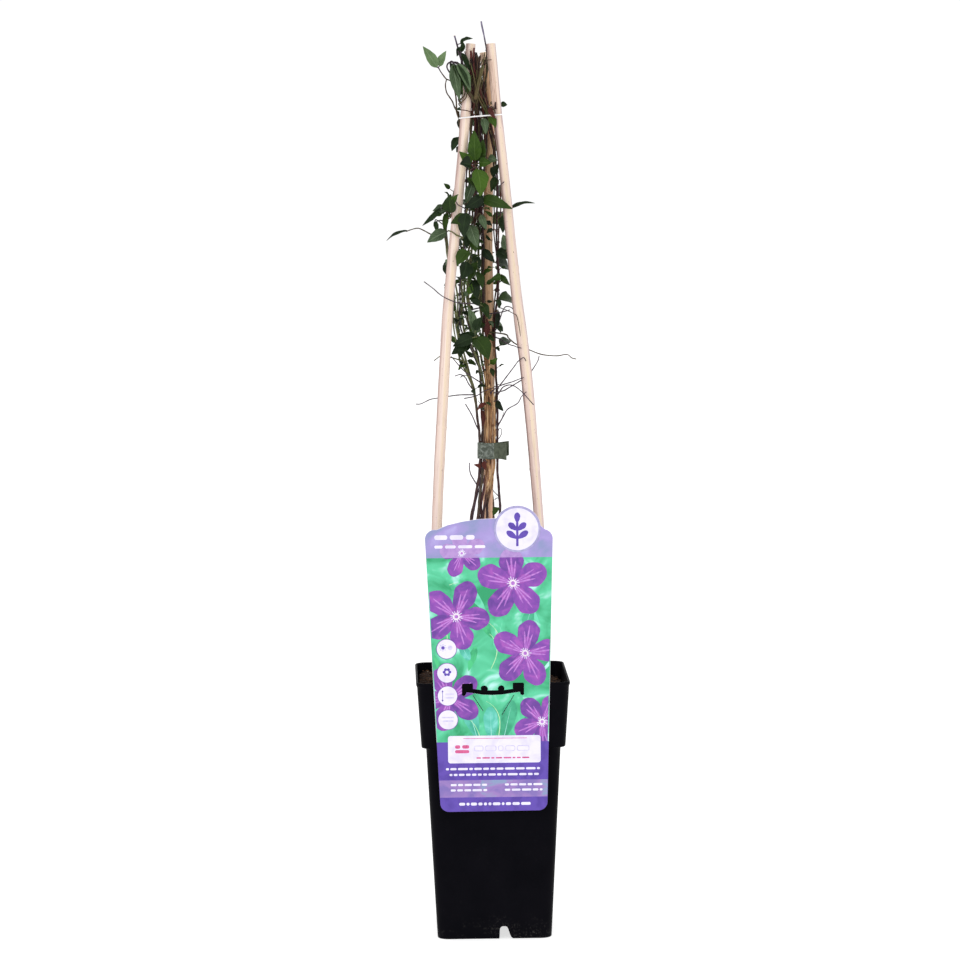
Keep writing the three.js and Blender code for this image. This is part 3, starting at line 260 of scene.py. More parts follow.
Stem = namedtuple("Stem", "foot_r top_r top path")
STEMS = [Stem(*row) for row in (
    (1.4, 1.0, 706, xyz(-9,3,194, -13,8,290, -15.2,14,356, -12.3,18,371, -9.5,23,385, -7.4,30,402,
        -7.4,30,422, -9,28,440, -11.4,24,464, -15.7,20,477, -21.7,16,489, -25,13,502, -27,8,529,
        -27.8,6,545, -33,1,573, -37.2,-1,603, -34.5,0,618, -30,1,629, -26,1.5,641, -22.8,1,656,
        -20.5,1,673, -21,-1,685, -24.2,-3,695, -23.7,-3,706)),
    (1.3, 0.8, 770, xyz(-6,0,194, -10,7,290, -10.9,13,356, -8.4,19,376, -5.9,25,390, -4.4,28.5,402,
        -4.3,28.5,422, -3,27.5,440, -3.1,26,461, -6,21,482, -11.7,15,501, -21,12,521, -22.5,10,545,
        -23.5,9,560, -19.2,7,596, -16.8,5,626, -15.4,3,660, -13.3,1,694, -14.4,0,722, -17.5,0.5,733,
        -22.6,0,753, -27,-3,770)),
    (1.3, 0.9, 754, xyz(-2,3,194, -6,9,290, -7.4,15,356, -6.3,19,371, -3.5,24,385, -1.4,27.5,402,
        -1.3,27.5,422, -0.3,26,447, -1,24,466, -3.1,21,484, -9,16,508, -15.3,13,532, -17,12,545,
        -13.3,9,583, -10.6,6.5,622, -10.6,4,660, -9.9,2,694, -12.2,1,724, -15.5,1,739, -18.3,2,754)),
    (1.3, 0.9, 756, xyz(2,1,194, -2,7,290, -4.8,13,356, -2.2,20,376, 0.5,25,392, 1.9,27,404, 1.9,27,422,
        2.6,26.4,447, 1.3,22.4,472, -1.3,19,497, -2.2,18,514, -3.1,15,544, -4.7,13,572, -4,11,603,
        -4.7,8.5,640, -5.3,7,664, -6.4,3,698, -8.4,0,727, -10.7,-1,756)),
    (1.4, 0.7, 786, xyz(7,3,194, 8,9,290, 8.2,14,357, 8.5,20,374, 7.7,25,390, 7.3,29,404, 7.4,29,422,
        7.7,28,437, 6.7,26.5,466, 6.5,25,494, 6.8,22,527, 8.8,18,561, 9,14,596, 8.8,10.5,626, 7.5,8,656,
        5.5,5,690, 0.2,2,719, -5.6,0,741, 1.8,1,760, -4.2,1,776, -3.6,0,786)),
    (1.3, 0.9, 754, xyz(3,9,194, 0,14,290, -2.4,17.4,357, -0.3,23,374, 3,26.2,388, 5,27.6,402,
        5,27.6,422, 5.5,26.8,447, 2,24.5,473, -3.5,22,501, -6,20,534, -7,18,561, -7,16,591, -7.3,13,618,
        -3,11.5,645, -0.5,9.5,668, 0,7.5,690, -4,5,719, -6.3,4,744, -6.7,5,754)),
    (1.3, 0.8, 754, xyz(-4,8,194, -7,17,290, -8,27,355, -7,32,378, -4.6,36,402, -4.6,36,422, -5,34,447,
        -8,31,486, -15,27,520, -19,24,545, -19,21,572, -14,18,602, -10,15,639, -8,13,665, -6.5,11,694,
        -9,7,724, -10,6,754)),
    (1.3, 0.8, 690, xyz(2,9,194, 6,24,290, 4,42,350, 2.8,43.2,378, 4.5,39.6,402, 4.5,39.6,422, 6,38,450,
        7,35,492, 4,32,536, 0,31,580, -1,28,620, 5.5,26,655, 9,22,690)),
)]


def level_z(k):
    return STEM_FOOT + STEM_STEP * k


def stem_radius(stem, z):
    return mix(stem.foot_r, stem.top_r, (z - STEM_FOOT) / (stem.top - STEM_FOOT))


ROUTES = []
for i, stem in enumerate(STEMS):
    route = []
    for k in range(LEVELS):
        z = level_z(k)
        if z > stem.top + 0.01:
            break
        x, y = at(stem.path, z)
        # small swings, none near the tie
        sway = 0.9 * min(1, max(0, (abs(z - TIE_LEVEL) - 14) / 40))
        route.append([x + sway * math.sin(z / 15 + i * 2.1), y + sway * math.cos(z / 19 + i * 3.7), z])
    ROUTES.append(route)


def shift(p, x, y):
    p[0] += x
    p[1] += y


# stems that would touch each other or a cane move apart
for _ in range(PUSHES):
    for k in range(LEVELS):
        z = level_z(k)
        here = [n for n in range(len(STEMS)) if k < len(ROUTES[n])]
        for n, i in enumerate(here):
            a, girth = ROUTES[i][k], stem_radius(STEMS[i], z)
            for j in here[n + 1:]:
                b = ROUTES[j][k]
                need = girth + stem_radius(STEMS[j], z) + STEM_GAP
                d = math.hypot(b[0] - a[0], b[1] - a[1])
                if d < need:
                    push = (need - d) / 2 / (d or 1)
                    dx, dy = (b[0] - a[0]) * push, (b[1] - a[1]) * push
                    shift(a, -dx, -dy)
                    shift(b, dx, dy)
            for cane in CANES if z <= CANE_TOP + 12 else ():
                c = at(cane.path, z)
                need = girth + cane_radius(cane, z) + (BAND_GAP if abs(z - BAND_Z) < 12 else CANE_GAP)
                d = math.hypot(a[0] - c[0], a[1] - c[1])
                if d < need:
                    shift(a, (a[0] - c[0]) * (need - d) / d, (a[1] - c[1]) * (need - d) / d)

tie_discs = []
for k in (13, 14):  # the two levels nearest to the tie's middle
    for i, stem in enumerate(STEMS):
        tie_discs.append((*ROUTES[i][k][:2], stem_radius(stem, TIE_LEVEL)))
for z in (TIE_LOW, TIE_HIGH):
    tie_discs.append((*at(BACK.path, z), cane_radius(BACK, z)))
TIE_LOOP = hull_around(tie_discs, 0.45 + TIE_THICK / 2, 30)
TIE_TAILS = [
    xz(7.4,28.6, 9.8,27.2, 12.6,26.6, 15.4,25.4),
    xz(8.4,30.6, 11.2,31.2, 14.4,31, 17.8,30),
]
# how far each tail's lower and upper edge stands over the tie's own, start to end
TIE_CUTS = [
    ([-0.2, -0.3, -0.7, -1.2], [-0.4, -0.4, -0.3, -0.2]),
    ([0.4, 0.8, 1.6, 2.8], [0, 0.4, 0.8, 1.2]),
]
band_discs = [(*at(c.path, BAND_Z), cane_radius(c, BAND_Z)) for c in CANES]
BAND_LINE = [(x, y, BAND_Z + BAND_TILT * (x + 6))
             for x, y in hull_around(band_discs, BAND_RADIUS + 0.6, 26)]

# ------------------------------------------------------------------ plan: what takes up room
SLICE = 8
CANE_OWNER, TIE_OWNER, BAND_OWNER = 100, 110, 111  # stems are 0 to 7
taken = {}
packed = {}


def take(p, r, owner):
    """Marks a ball of room as taken by its owner."""
    key = math.floor(p[2] / SLICE)
    taken.setdefault(key, []).append((p[0], p[1], p[2], r, owner))
    packed.pop(key, None)


def take_line(points, radius, owner, step=2.0):
    """Marks the room along a line, ball by ball."""
    for a, b in zip(points, points[1:]):
        n = max(1, math.ceil(size(sub(b, a)) / step))
        for j in range(n):
            t = j / n
            take(tuple(mix(a[x], b[x], t) for x in range(3)), radius, owner)
    take(points[-1], radius, owner)


def clashes(p, r, owner, room):
    """The balls of other owners that come closer than room: distance, wanted distance, ball."""
    out = []
    for key in range(math.floor((p[2] - r - 6) / SLICE), math.floor((p[2] + r + 6) / SLICE) + 1):
        if key not in taken:
            continue
        if key not in packed:
            packed[key] = np.array(taken[key], float)
        rows = packed[key]
        need = r + rows[:, 3] + room
        dx, dy, dz = p[0] - rows[:, 0], p[1] - rows[:, 1], p[2] - rows[:, 2]
        d = dx * dx + dy * dy + dz * dz
        for i in np.nonzero((d < need * need) & (rows[:, 4] != owner))[0]:
            out.append((math.sqrt(d[i]), need[i], rows[i]))
    return out


def cane_line(cane):
    heights = [*range(CANE_FOOT, cane.top, 62), *(z + d for z in cane.joints for d in (-4, 0, 4)), cane.top]
    return [point_at(cane.path, z) for z in sorted(heights)]


for n, cane in enumerate(CANES):
    line = cane_line(cane)
    for a, b in zip(line, line[1:]):
        take_line([a, b], cane_radius(cane, a[2]) + 0.25, CANE_OWNER + n)
for i, stem in enumerate(STEMS):
    for k in range(len(ROUTES[i]) - 1):
        take_line([ROUTES[i][k], ROUTES[i][k + 1]], stem_radius(stem, level_z(k)) + 0.1, i)
for z in range(TIE_LOW, TIE_HIGH + 1, 2):
    take_line([(x, y, z) for x, y in TIE_LOOP + TIE_LOOP[:1]], 0.7, TIE_OWNER)
    for line in TIE_TAILS:
        take_line([(x, y, z) for x, y in line], 0.8, TIE_OWNER)
take_line(BAND_LINE + BAND_LINE[:1], BAND_RADIUS + 0.1, BAND_OWNER)

# stem, first and last radius, points
TWIGS = {
    "left_arm": (0, 0.7, 0.45, xyz(-35,-3,607, -41,-6,600, -49,-8,602, -59,-9,607, -68,-9,605)),
    "left_thread": (2, 0.6, 0.4, xyz(-4,16,536, -8,8,540, -13,0,542, -23,-12,543, -30,-23,545,
        -40,-25,550, -47,-23,556, -55,-20,562)),
    "right_thread_low": (4, 0.6, 0.4, xyz(8,20,512, 17,0,507, 24,-22,506, 27,-27,505)),
    "right_thread": (5, 0.7, 0.4, xyz(12,25,517, 23,8,507, 35,-4,502, 46,-6,498, 59,-8,497, 67,-8,498,
        71,-8,495, 75,-8,494)),
    "right_loop": (5, 0.6, 0.4, xyz(10,29,463, 23,10,472, 33,-6,480, 39,-8,488, 42,-8,493, 43,-8,497)),
    "right_hook": (4, 0.6, 0.4, xyz(7,24,466, 13,10,475, 20,-8,486, 25,-24,494, 29,-28,497, 31,-28,494)),
    "left_low": (0, 0.6, 0.4, xyz(-11,24,462, -25,10,463, -35,-6,463, -43,-9,462, -50,-10,461,
        -59,-10,457, -63,-10,457)),
    "right_low": (3, 0.6, 0.4, xyz(1,24,462, 5,16,467, 11,10,471, 20,-6,475, 26,-27,479, 29,-29,480)),
    "right_drop": (4, 0.6, 0.4, xyz(8,25,461, 13,8,470, 20,-8,472, 27,-27,468, 37,-33,457)),
    "right_rise": (4, 0.6, 0.4, xyz(7.5,28,433, 12,12,443, 16,0,451, 24,-14,457, 27,-29,464, 31,-31,468)),
    "spur_left": (0, 0.6, 0.45, xyz(-9,29,431, -14,18,444, -20,12,455)),
    "spur_low": (0, 0.6, 0.45, xyz(-10,23,383, -16,16,394, -17,14,399, -17,13,404)),
    "spur_mid": (0, 0.6, 0.4, xyz(-12,23,465, -17,16,472, -20,10,478, -24,4,481, -29,0,480)),
    "spur_out": (1, 0.6, 0.4, xyz(-4,24,471, -15,10,479, -22,4,485, -32,-4,497)),
    "spur_high": (4, 0.6, 0.4, xyz(8.5,10,630, 10,-3,636, 10.5,-13,642, 14,-17,646)),
    "spur_right": (3, 0.6, 0.4, xyz(-2.5,16,532, 8,0,534, 12,-8,535, 18,-16,537)),
    "arch_right": (4, 0.6, 0.4, xyz(8,22,517, 11,12,530, 15,0,539, 22,-14,538)),
    "left_tick": (0, 0.7, 0.4, xyz(-22.5,15,492, -32,0,496, -41,-8,498, -47,-10,494)),
    "second_stem": (0, 1.0, 0.7, xyz(-11.4,24,464, -17,20,484, -24,15,512, -26,11,530, -26,9,548,
        -30,6,571, -31,5,592)),
    "cross_left": (1, 0.9, 0.6, xyz(-20,4,596, -23,-8,598, -26.5,-18,601, -30.5,-20,604, -34,-17,605)),
    "cross_high": (1, 0.6, 0.4, xyz(-17.5,4,618, -21,-10,623, -25.5,-18,627, -28,-20,631)),
    "left_spur": (0, 0.6, 0.4, xyz(-35.5,-1,612, -40.5,-5,613.5, -46,-8,611.5)),
    "crown_strand": (0, 0.8, 0.5, xyz(-25.5,-3,700, -26,-8,716, -28,-10,727, -31,-12,732, -34,-13,733,
        -38,-14,738, -41,-14,743)),
    "crown_loop": (0, 0.7, 0.5, xyz(-25.5,-3,704, -29,-4,714, -34,-6,722, -35,-10,728, -34,-13,733)),
    "cut_left": (1, 0.9, 0.7, xyz(-13.2,0,708, -13,-7,718, -16,-10,730, -18.5,-10.5,741,
        -17.5,-10.5,752)),
    "cut_front": (3, 0.9, 0.7, xyz(-7.2,1,712, -9,-6,724, -12,-9,736, -13,-10,750)),
    "cut_olive": (3, 1.1, 0.9, xyz(-6.9,1.5,707, -9,-3,721, -5.5,-5,733, -2,-5,744, -1,-4,749)),
    "cut_right": (5, 0.8, 0.7, xyz(-4,5,719, -0.5,3,732, 1.5,4,743, 1.5,5,752)),
    "cut_back": (6, 0.8, 0.7, xyz(-8,8,716, -12,9,732, -14,10,748)),
    "cut_low": (2, 0.8, 0.7, xyz(-10.5,2,706, -14.5,7,722, -16,9,738)),
    "cut_long": (2, 0.9, 0.6, xyz(-10,2,697, -14,-6,712, -17,-11,727, -18.5,-11.5,739, -21.5,-11,749,
        -24,-10,757)),
    "cut_middle": (3, 0.9, 0.7, xyz(-6.6,2,703, -7.5,-4,718, -8,-7,732, -7,-8,744, -6,-8,752)),
    "cut_high": (5, 0.8, 0.7, xyz(-2,6,705, -1.5,1,718, -0.5,-1,732, 1,-2,744, 2,-2,752)),
}


def lay_twig(twig, step):
    """The twig's line, started on its stem and pushed clear of all else."""
    stem, points = twig[0], twig[3]
    line = smooth(points, step)
    line[0] = point_at(ROUTES[stem], points[0][2])
    for _ in range(40):
        for i in range(1, len(line)):
            for share in ((0, 0.5) if i > 1 else (0,)):
                p = tuple(mix(line[i][k], line[i - 1][k], share) for k in range(3))
                for d, need, q in clashes(p, 0.7, stem, 0.5):
                    push = min(0.5, need - d) / (d or 1)
                    line[i] = add(line[i], sub(p, q), push)
                    if share:
                        line[i - 1] = add(line[i - 1], sub(p, q), push)
    return line


LINES = {}
for name, twig in TWIGS.items():
    LINES[name] = lay_twig(twig, 5.5)
    take_line(LINES[name], 0.6, twig[0], 1.5)

# base, tip, width and tone: 0 dark, 1 mid, 2 bright, 3 dry, 4 grey (grey-green with painted highlight), 5
# pale
LEAFLETS = groups(8, (
    -42,-14,743,-54,-16,761,9,5, -40,-14,744,-34,-17,757,7,5, -22,-1,763,-11,-4,767,4.5,0,
    -22,-2,760,-25,-5,752,5,0, -21,-3,751,-21,-6,762,4.5,0, -31,-7,747,-30,-8,737,4.5,0,
    -28,-8,746,-23,-11,715,9.5,4, -25,-11,746,-14,-14,722,8.5,4, -21,-9,750,-14,-12,734,5,0,
    -20,-4,732,-21,-6,712,4.5,1, 12,5,712,18,5,711,5,0, -22,-9,707,-26,-10,707,4,0,
    -23,-4,699,-24,-5,692,4,0, -24,-4,684,-30,-6,672,7,0, -23,-4,676,-26,-5,671,5,0,
    -3,-5,700,-1,-9,686,7,4, 2,-6,702,7,-9,692,7.5,3, -10,-9,664,-11,-12,690,12,2,
    -6,-8,664,-3,-11,682,10,1, -13,-12,663,-24,-16,672,8.5,2, -14,-12,660,-24,-16,661,13,0,
    -9,-10,664,-6,-15,641,15,2, -7,-10,662,3,-14,662,9,2, 1,-4,666,9,-7,664,7.5,4,
    5,-3,650,11,-6,661,8,0, -7,-8,640,-18,-11,650,7.5,1, -13,-6,644,-19,-9,628,8.5,4,
    -5,-11,644,-14,-14,638,9.5,2, -4,-9,634,-20,-13,624,11,0, -5,-11,632,21,-21,623,10.5,1,
    19,2,622,41,2,628,4.5,0, 7,-4,650,3,-7,637,6.5,1, -31,-20,620,-32,-22,636,13.5,1,
    -30,-23,627,-25,-25,636,6,2, -40,-10,624,-56,-12,609,5,0, -35,-7,621,-47,-9,622,10.5,4,
    -35,-5,620,-37,-7,603,5.5,1, -45,-9,613,-43,-10,603,4.5,0, -35,-8,604,-52,-9,595,10.5,4,
    -17,-16,620,-32,-20,615,10.5,1, -18,-13,620,-21,-16,599,12,0, -15,-8,609,-9,-12,590,11,4,
    -18,-2,603,-18,-4,589,7.5,0, -13,-5,596,-10,-8,586,7.5,1, -6,-5,618,-1,-8,605,6.5,4,
    -2,1,612,4,-1,608,4.5,0, 5,1,605,-1,-1,602,4.5,0, 14,2,617,13,0,602,7.5,0, 16,2,588,13,1,601,9.5,4,
    8,8,586,19,4,580,12,0, -4,3,588,6,-1,577,7.5,0, -16,-14,587,-27,-19,575,12.5,1,
    -33,-6,579,-35,-7,565,8.5,0, -18,-6,578,-23,-9,563,13,0, -9,-3,577,-16,-7,559,9.5,1,
    -12,6,582,-7,4,571,7.5,0, -10,4,569,-5,1,554,8,1, -14,6,562,-9,3,545,9,0, 11,7,566,2,1,562,6.5,2,
    11,9,566,19,6,557,5.5,1, -7,4,567,-5,1,556,5.5,2, -16,3,550,-14,1,559,5.5,2, -7,5,541,-16,2,546,5,0,
    -6,6,542,0,2,529,8,1, 8,14,545,10,12,537,5.5,0, 9,16,535,7,14,518,4.5,0, 9,18,521,13,16,517,5.5,0,
    6,16,503,10,14,500,4.5,0, -12,-1,513,0,-7,494,16.5,1, -12,-3,514,-26,-6,516,8.5,0,
    -14,-6,513,-31,-11,506,10.5,0, -16,-3,509,-32,-8,499,11,0, -19,-7,507,-25,-10,496,8.5,0,
    -11,5,514,-18,3,541,7.5,4, -8,3,517,-13,1,536,7,4, -11,1,519,-5,-1,531,8.5,0,
    -2,9,514,-1,7,529,5.5,3, -6,20,450,-5,18,433,4.5,3, -2,20,455,-10,18,449,4.5,3,
    7,21,457,13,18,448,6,0, -7,21,399,-13,19,402,4,3, -4,21,405,-3,19,397,4.5,3, 8,11,365,3,9,358,6,1,
    -68,-9,605,-87,-9,597,3.5,0))
# leaflets that grow on a twig, by their number in the list
CARRIED_BY = {0: "crown_strand", 1: "crown_strand", 83: "left_arm"}
# stem, height, direction in degrees, reach, length, width
BACK_PAIRS = groups(6, (
    7,500,100,9,18,11, 6,518,120,9,19,12, 7,540,80,10,21,13, 6,556,130,10,21,13, 7,572,95,10,22,14,
    6,588,130,10,21,13, 7,606,90,10,21,13, 6,622,135,10,21,13, 7,638,80,11,22,14, 6,654,120,10,21,13,
    7,672,85,10,20,12, 6,690,110,9,19,12, 6,714,110,8,17,10, 6,734,110,7,15,10))


def profile(s):
    """Half width along the blade of the solids."""
    return max(0.12, 1.06 * math.sin(math.pi * s ** 0.75) ** 0.85 * (1 - 0.18 * s)) if s < 1 else 0.0


class Blade:
    """The plain form of a leaf, as in the solids: t runs along it and u from -1 to 1 across."""

    def __init__(self, base, tip, width, facing, roll):
        self.base, self.width = base, width
        self.along, self.long = unit(sub(tip, base)), size(sub(tip, base))
        across = cross(self.along, facing)
        across = unit(cross(self.along, (1, 0.2, 0))) if size(across) < 0.2 else unit(across)
        up = cross(across, self.along)
        if dot(up, facing) < 0:
            up = tuple(-v for v in up)
        c, s = math.cos(roll), math.sin(roll)
        self.across = add(tuple(v * c for v in across), up, s)
        self.normal = add(tuple(v * c for v in up), across, -s)

    def point(self, t, u):
        half = 0 if t >= 1 else (self.width / 2) * profile(t)
        arch = 0.12 * self.long * math.sin(math.pi * t) + 0.26 * abs(u) * half
        p = add(add(self.base, self.along, self.long * t), self.normal, arch)
        return add(p, self.across, u * half)


def stalk(start_at, base, along, start):
    """Points of a bent stalk that leaves along start and runs on into the blade."""
    reach = size(sub(base, start_at))
    a, b = add(start_at, start, reach * 0.4), add(base, along, -reach * 0.3)
    curve = []
    for i in range(5):
        t = i / 4
        m = 1 - t
        curve.append(tuple(
            m * m * m * start_at[k] + 3 * m * m * t * a[k] + 3 * m * t * t * b[k] + t * t * t * base[k]
            for k in range(3)))
    return curve + [add(base, along, 2)]


def samples(leaf):
    """Points spread over a blade."""
    return [leaf.point(min(1, (i + 0.5) / 8.6), j / 2) for i in range(9) for j in range(-2, 3)]


def fits(line, leaf, owner):
    """Whether a stalk and its blade stay clear of everything else."""
    for a, b in zip(line, line[1:]):
        for j in range(3):
            if clashes(tuple(mix(a[k], b[k], j / 3) for k in range(3)), 0.6, owner, 0.35):
                return False
    return not any(clashes(p, 1.3, owner, 0.3) for p in samples(leaf))


def claim(line, leaf, owner):
    """Marks the room of a stalk and its blade."""
    take_line(line, 0.6, owner, 1.5)
    for p in samples(leaf):
        take(p, 1.3, owner)


SHIFTS = [(0, 0), (-3, 0), (3, 0), (-6, 0), (0, 4), (0, -4), (6, 0), (-3, 5), (-3, -5), (-9, 0),
          (3, 5), (3, -5), (-6, 7), (-6, -7), (9, 0)]
LEAVES = []


def grow_leaflet(item, twig, draw):
    """Sets one leaflet where it fits, shifted as little as need be."""
    bx, by, bz, tx, ty, tz, width, tone = item
    roll = (draw() - 0.5) * 1.1
    facing = unit((0.15 * (draw() - 0.5), -1, 0.35))

    def reach(i):
        x, y = at(ROUTES[i], bz)
        return 1000 if bz > STEMS[i].top else math.hypot(x - bx, y - by)

    order = [TWIGS[twig][0]] if twig else sorted(range(len(STEMS)), key=reach)[:3]
    for owner in order:
        for dy, dz in ([(0, 0)] if twig else SHIFTS):
            base, tip = (bx, by + dy, bz + dz), (tx, ty + dy, tz + dz)
            leaf = Blade(base, tip, width, facing, roll)
            if twig:
                start_at = LINES[twig][-1]
            else:
                low = min(STEMS[owner].top - 3, base[2] - 0.35 * reach(owner))
                start_at = point_at(ROUTES[owner], low)
            out = sub(base, start_at)
            line = stalk(start_at, base, leaf.along, unit((out[0], out[1], abs(out[2]) + 2)))
            if fits(line, leaf, owner):
                claim(line, leaf, owner)
                LEAVES.append((owner, line, leaf, tone))
                return


def grow_back(item, side, draw, tone):
    """Sets one leaf of a pair behind the canes, turned until it fits."""
    owner, z, way, reach, long, width = item
    start_at = point_at(ROUTES[owner], z)
    tilt = (draw() - 0.6) * 0.9
    roll = (draw() - 0.5) * 0.9
    for turn in (0, 18, -18, 36, -36, 54, -54, 75, -75, 100, -100):
        a = (way + side * 46 + turn) * math.pi / 180
        out = (math.cos(a), math.sin(a), 0)
        base = add(add(start_at, out, reach), (0, 0, 1), 3.5)
        tip = add(base, unit((out[0], out[1], tilt)), long)
        if not at(LEFT.path, z)[0] - 2 < tip[0] < at(RIGHT.path, z)[0] + 2:
            continue
        leaf = Blade(base, tip, width, unit((0.4 * out[0], 0.4 * out[1] - 0.7, 0.7)), roll)
        line = stalk(start_at, base, leaf.along, unit((out[0], out[1], 0.5)))
        if fits(line, leaf, owner):
            claim(line, leaf, owner)
            LEAVES.append((owner, line, leaf, tone))
            return


draw = random_from(PLAN_SEED)
for n, item in enumerate(LEAFLETS):
    grow_leaflet(item, CARRIED_BY.get(n), draw)
for n, item in enumerate(BACK_PAIRS):
    grow_back(item, 1, draw, (1, 0, 2, 1)[n % 4])
    grow_back(item, -1, draw, (0, 1, 1, 2)[n % 4])

# ------------------------------------------------------------------ materials
def linear(code):
    """A colour as seen on screen, in hex, turned into the linear values that shaders take."""
    parts = [int(code[i:i + 2], 16) for i in (0, 2, 4)]
    return tuple((v / 255 / 12.92) if v <= 10 else ((v / 255 + 0.055) / 1.055) ** 2.4 for v in parts) + (1,)


class Mat:
    """A node material with a few short ways to add nodes. Colours are hex codes, as seen on screen."""

    def __init__(self, name, rough=0.5, **sockets):
        self.m = bpy.data.materials.new(name)
        self.m.use_nodes = True
        self.t = self.m.node_tree
        self.b = self.t.nodes["Principled BSDF"]
        for key, value in {"Roughness": rough, **sockets}.items():
            self.b.inputs[key.replace("_", " ")].default_value = value
        self.co = self.node("TexCoord").outputs["Object"]

    def node(self, kind, **inputs):
        n = self.t.nodes.new("ShaderNode" + kind)
        for key, value in inputs.items():
            self.put(n.inputs[key.replace("_", " ")], value)
        return n

    def put(self, socket, value):
        if isinstance(value, bpy.types.NodeSocket):
            self.t.links.new(value, socket)
        else:
            socket.default_value = linear(value) if isinstance(value, str) else value

    def space(self, scale=(1, 1, 1), source=None):
        """Coordinates in millimetres, stretched by scale."""
        return self.node("Mapping", Vector=source or self.co, Scale=[1000 * s for s in scale]).outputs[0]

    def noise(self, vector, scale, detail=3, rough=0.55, distort=0.0):
        n = self.node("TexNoise", Vector=vector, Scale=scale, Detail=detail, Roughness=rough)
        n.inputs["Distortion"].default_value = distort
        return n.outputs["Fac"]

    def math(self, kind, a, b=0.0):
        n = self.node("Math")
        n.operation = kind
        self.put(n.inputs[0], a)
        self.put(n.inputs[1], b)
        return n.outputs[0]

    def mul(self, a, b):
        return self.math("MULTIPLY", a, b)

    def add(self, a, b):
        return self.math("ADD", a, b)

    def less(self, a, b):
        return self.math("SUBTRACT", a, b)

    def window(self, value, low, high, soft):
        """1 where value lies between low and high, fading out over soft at each end."""
        rise, fall = [
            self.node("MapRange", Value=value, From_Min=edge - soft, From_Max=edge + soft,
                      To_Min=start, To_Max=1 - start).outputs[0]
            for edge, start in ((low, 0.0), (high, 1.0))]
        return self.mul(rise, fall)

    def place(self):
        """x, y and z of the shaded point, in millimetres of the plan."""
        x, y, z = self.node("SeparateXYZ", Vector=self.space()).outputs
        return self.less(x, OX), self.less(y, OY), z

    def shade(self):
        n = self.node("Attribute")
        n.attribute_name = "shade"
        return n.outputs["Fac"]

    def ramp(self, fac, *stops):
        """Stops are positions, each followed by its colour or grey."""
        n = self.node("ValToRGB", Fac=fac)
        r = n.color_ramp
        for _ in stops[4::2]:
            r.elements.new(0.5)
        for e, pos, colour in zip(r.elements, stops[::2], stops[1::2]):
            e.position = pos
            e.color = linear(colour) if isinstance(colour, str) else (colour, colour, colour, 1)
        return n.outputs[0]

    def blend(self, fac, a, b):
        n = self.node("Mix")
        n.data_type = "RGBA"
        for i, value in ((0, fac), (6, a), (7, b)):
            self.put(n.inputs[i], value)
        return n.outputs[2]

    def bump(self, height, strength, distance, after=None):
        n = self.node("Bump", Height=height, Strength=strength, Distance=distance / 1000)
        if after is not None:
            self.put(n.inputs["Normal"], after)
        return n.outputs[0]

    def done(self, colour=None, rough=None, normal=None):
        for socket, value in (("Base Color", colour), ("Roughness", rough), ("Normal", normal)):
            if value is not None:
                self.put(self.b.inputs[socket], value)
        return self.m


def pot_material():
    m = Mat("black_plastic", 0.42, Specular_IOR_Level=0.02)
    co = m.space()
    fine = m.noise(co, 0.9, 4, 0.6)
    broad = m.noise(co, 0.03, 4, 0.6)
    streak = m.noise(m.space((1, 1, 0.12)), 0.25, 3, 0.6)
    base = m.ramp(broad, 0.3, "06060a", 0.7, "0b0a0f")
    # pale dust, thicker near the ground
    height = m.node("SeparateXYZ", Vector=co).outputs[2]
    low = m.node("MapRange", Value=height, From_Min=0, From_Max=22, To_Min=0.22, To_Max=0.006).outputs[0]
    speck = m.ramp(m.noise(co, 0.5, 6, 0.8), 0.54, 0.0, 0.66, 1.0)
    patch = m.ramp(m.noise(co, 0.055, 3, 0.6), 0.46, 0.0, 0.60, 1.0)
    dust = m.mul(low, m.mul(speck, patch))
    colour = m.blend(dust, base, "96928c")
    rough = m.ramp(streak, 0.25, 0.34, 0.75, 0.52)
    n = m.bump(fine, 0.10, 0.12)
    n = m.bump(streak, 0.12, 0.3, n)
    return m.done(colour, rough, n)


def soil_material(tone=0):
    m = Mat(f"compost_{tone}", 0.9, Specular_IOR_Level=0.15)
    co = m.space()
    grain = m.noise(co, 0.35, 5, 0.65)
    stops = [(0.25, "0c0806", 0.5, "261912", 0.72, "483224"),
             (0.25, "3c281a", 0.5, "684a32", 0.75, "8c684a"),
             (0.3, "968c80", 0.5, "bcb4a8", 0.7, "d6d0c6")][tone]
    n = m.bump(m.noise(co, 1.2, 5, 0.7), 0.7, 0.8)
    return m.done(m.ramp(grain, *stops), None, n)


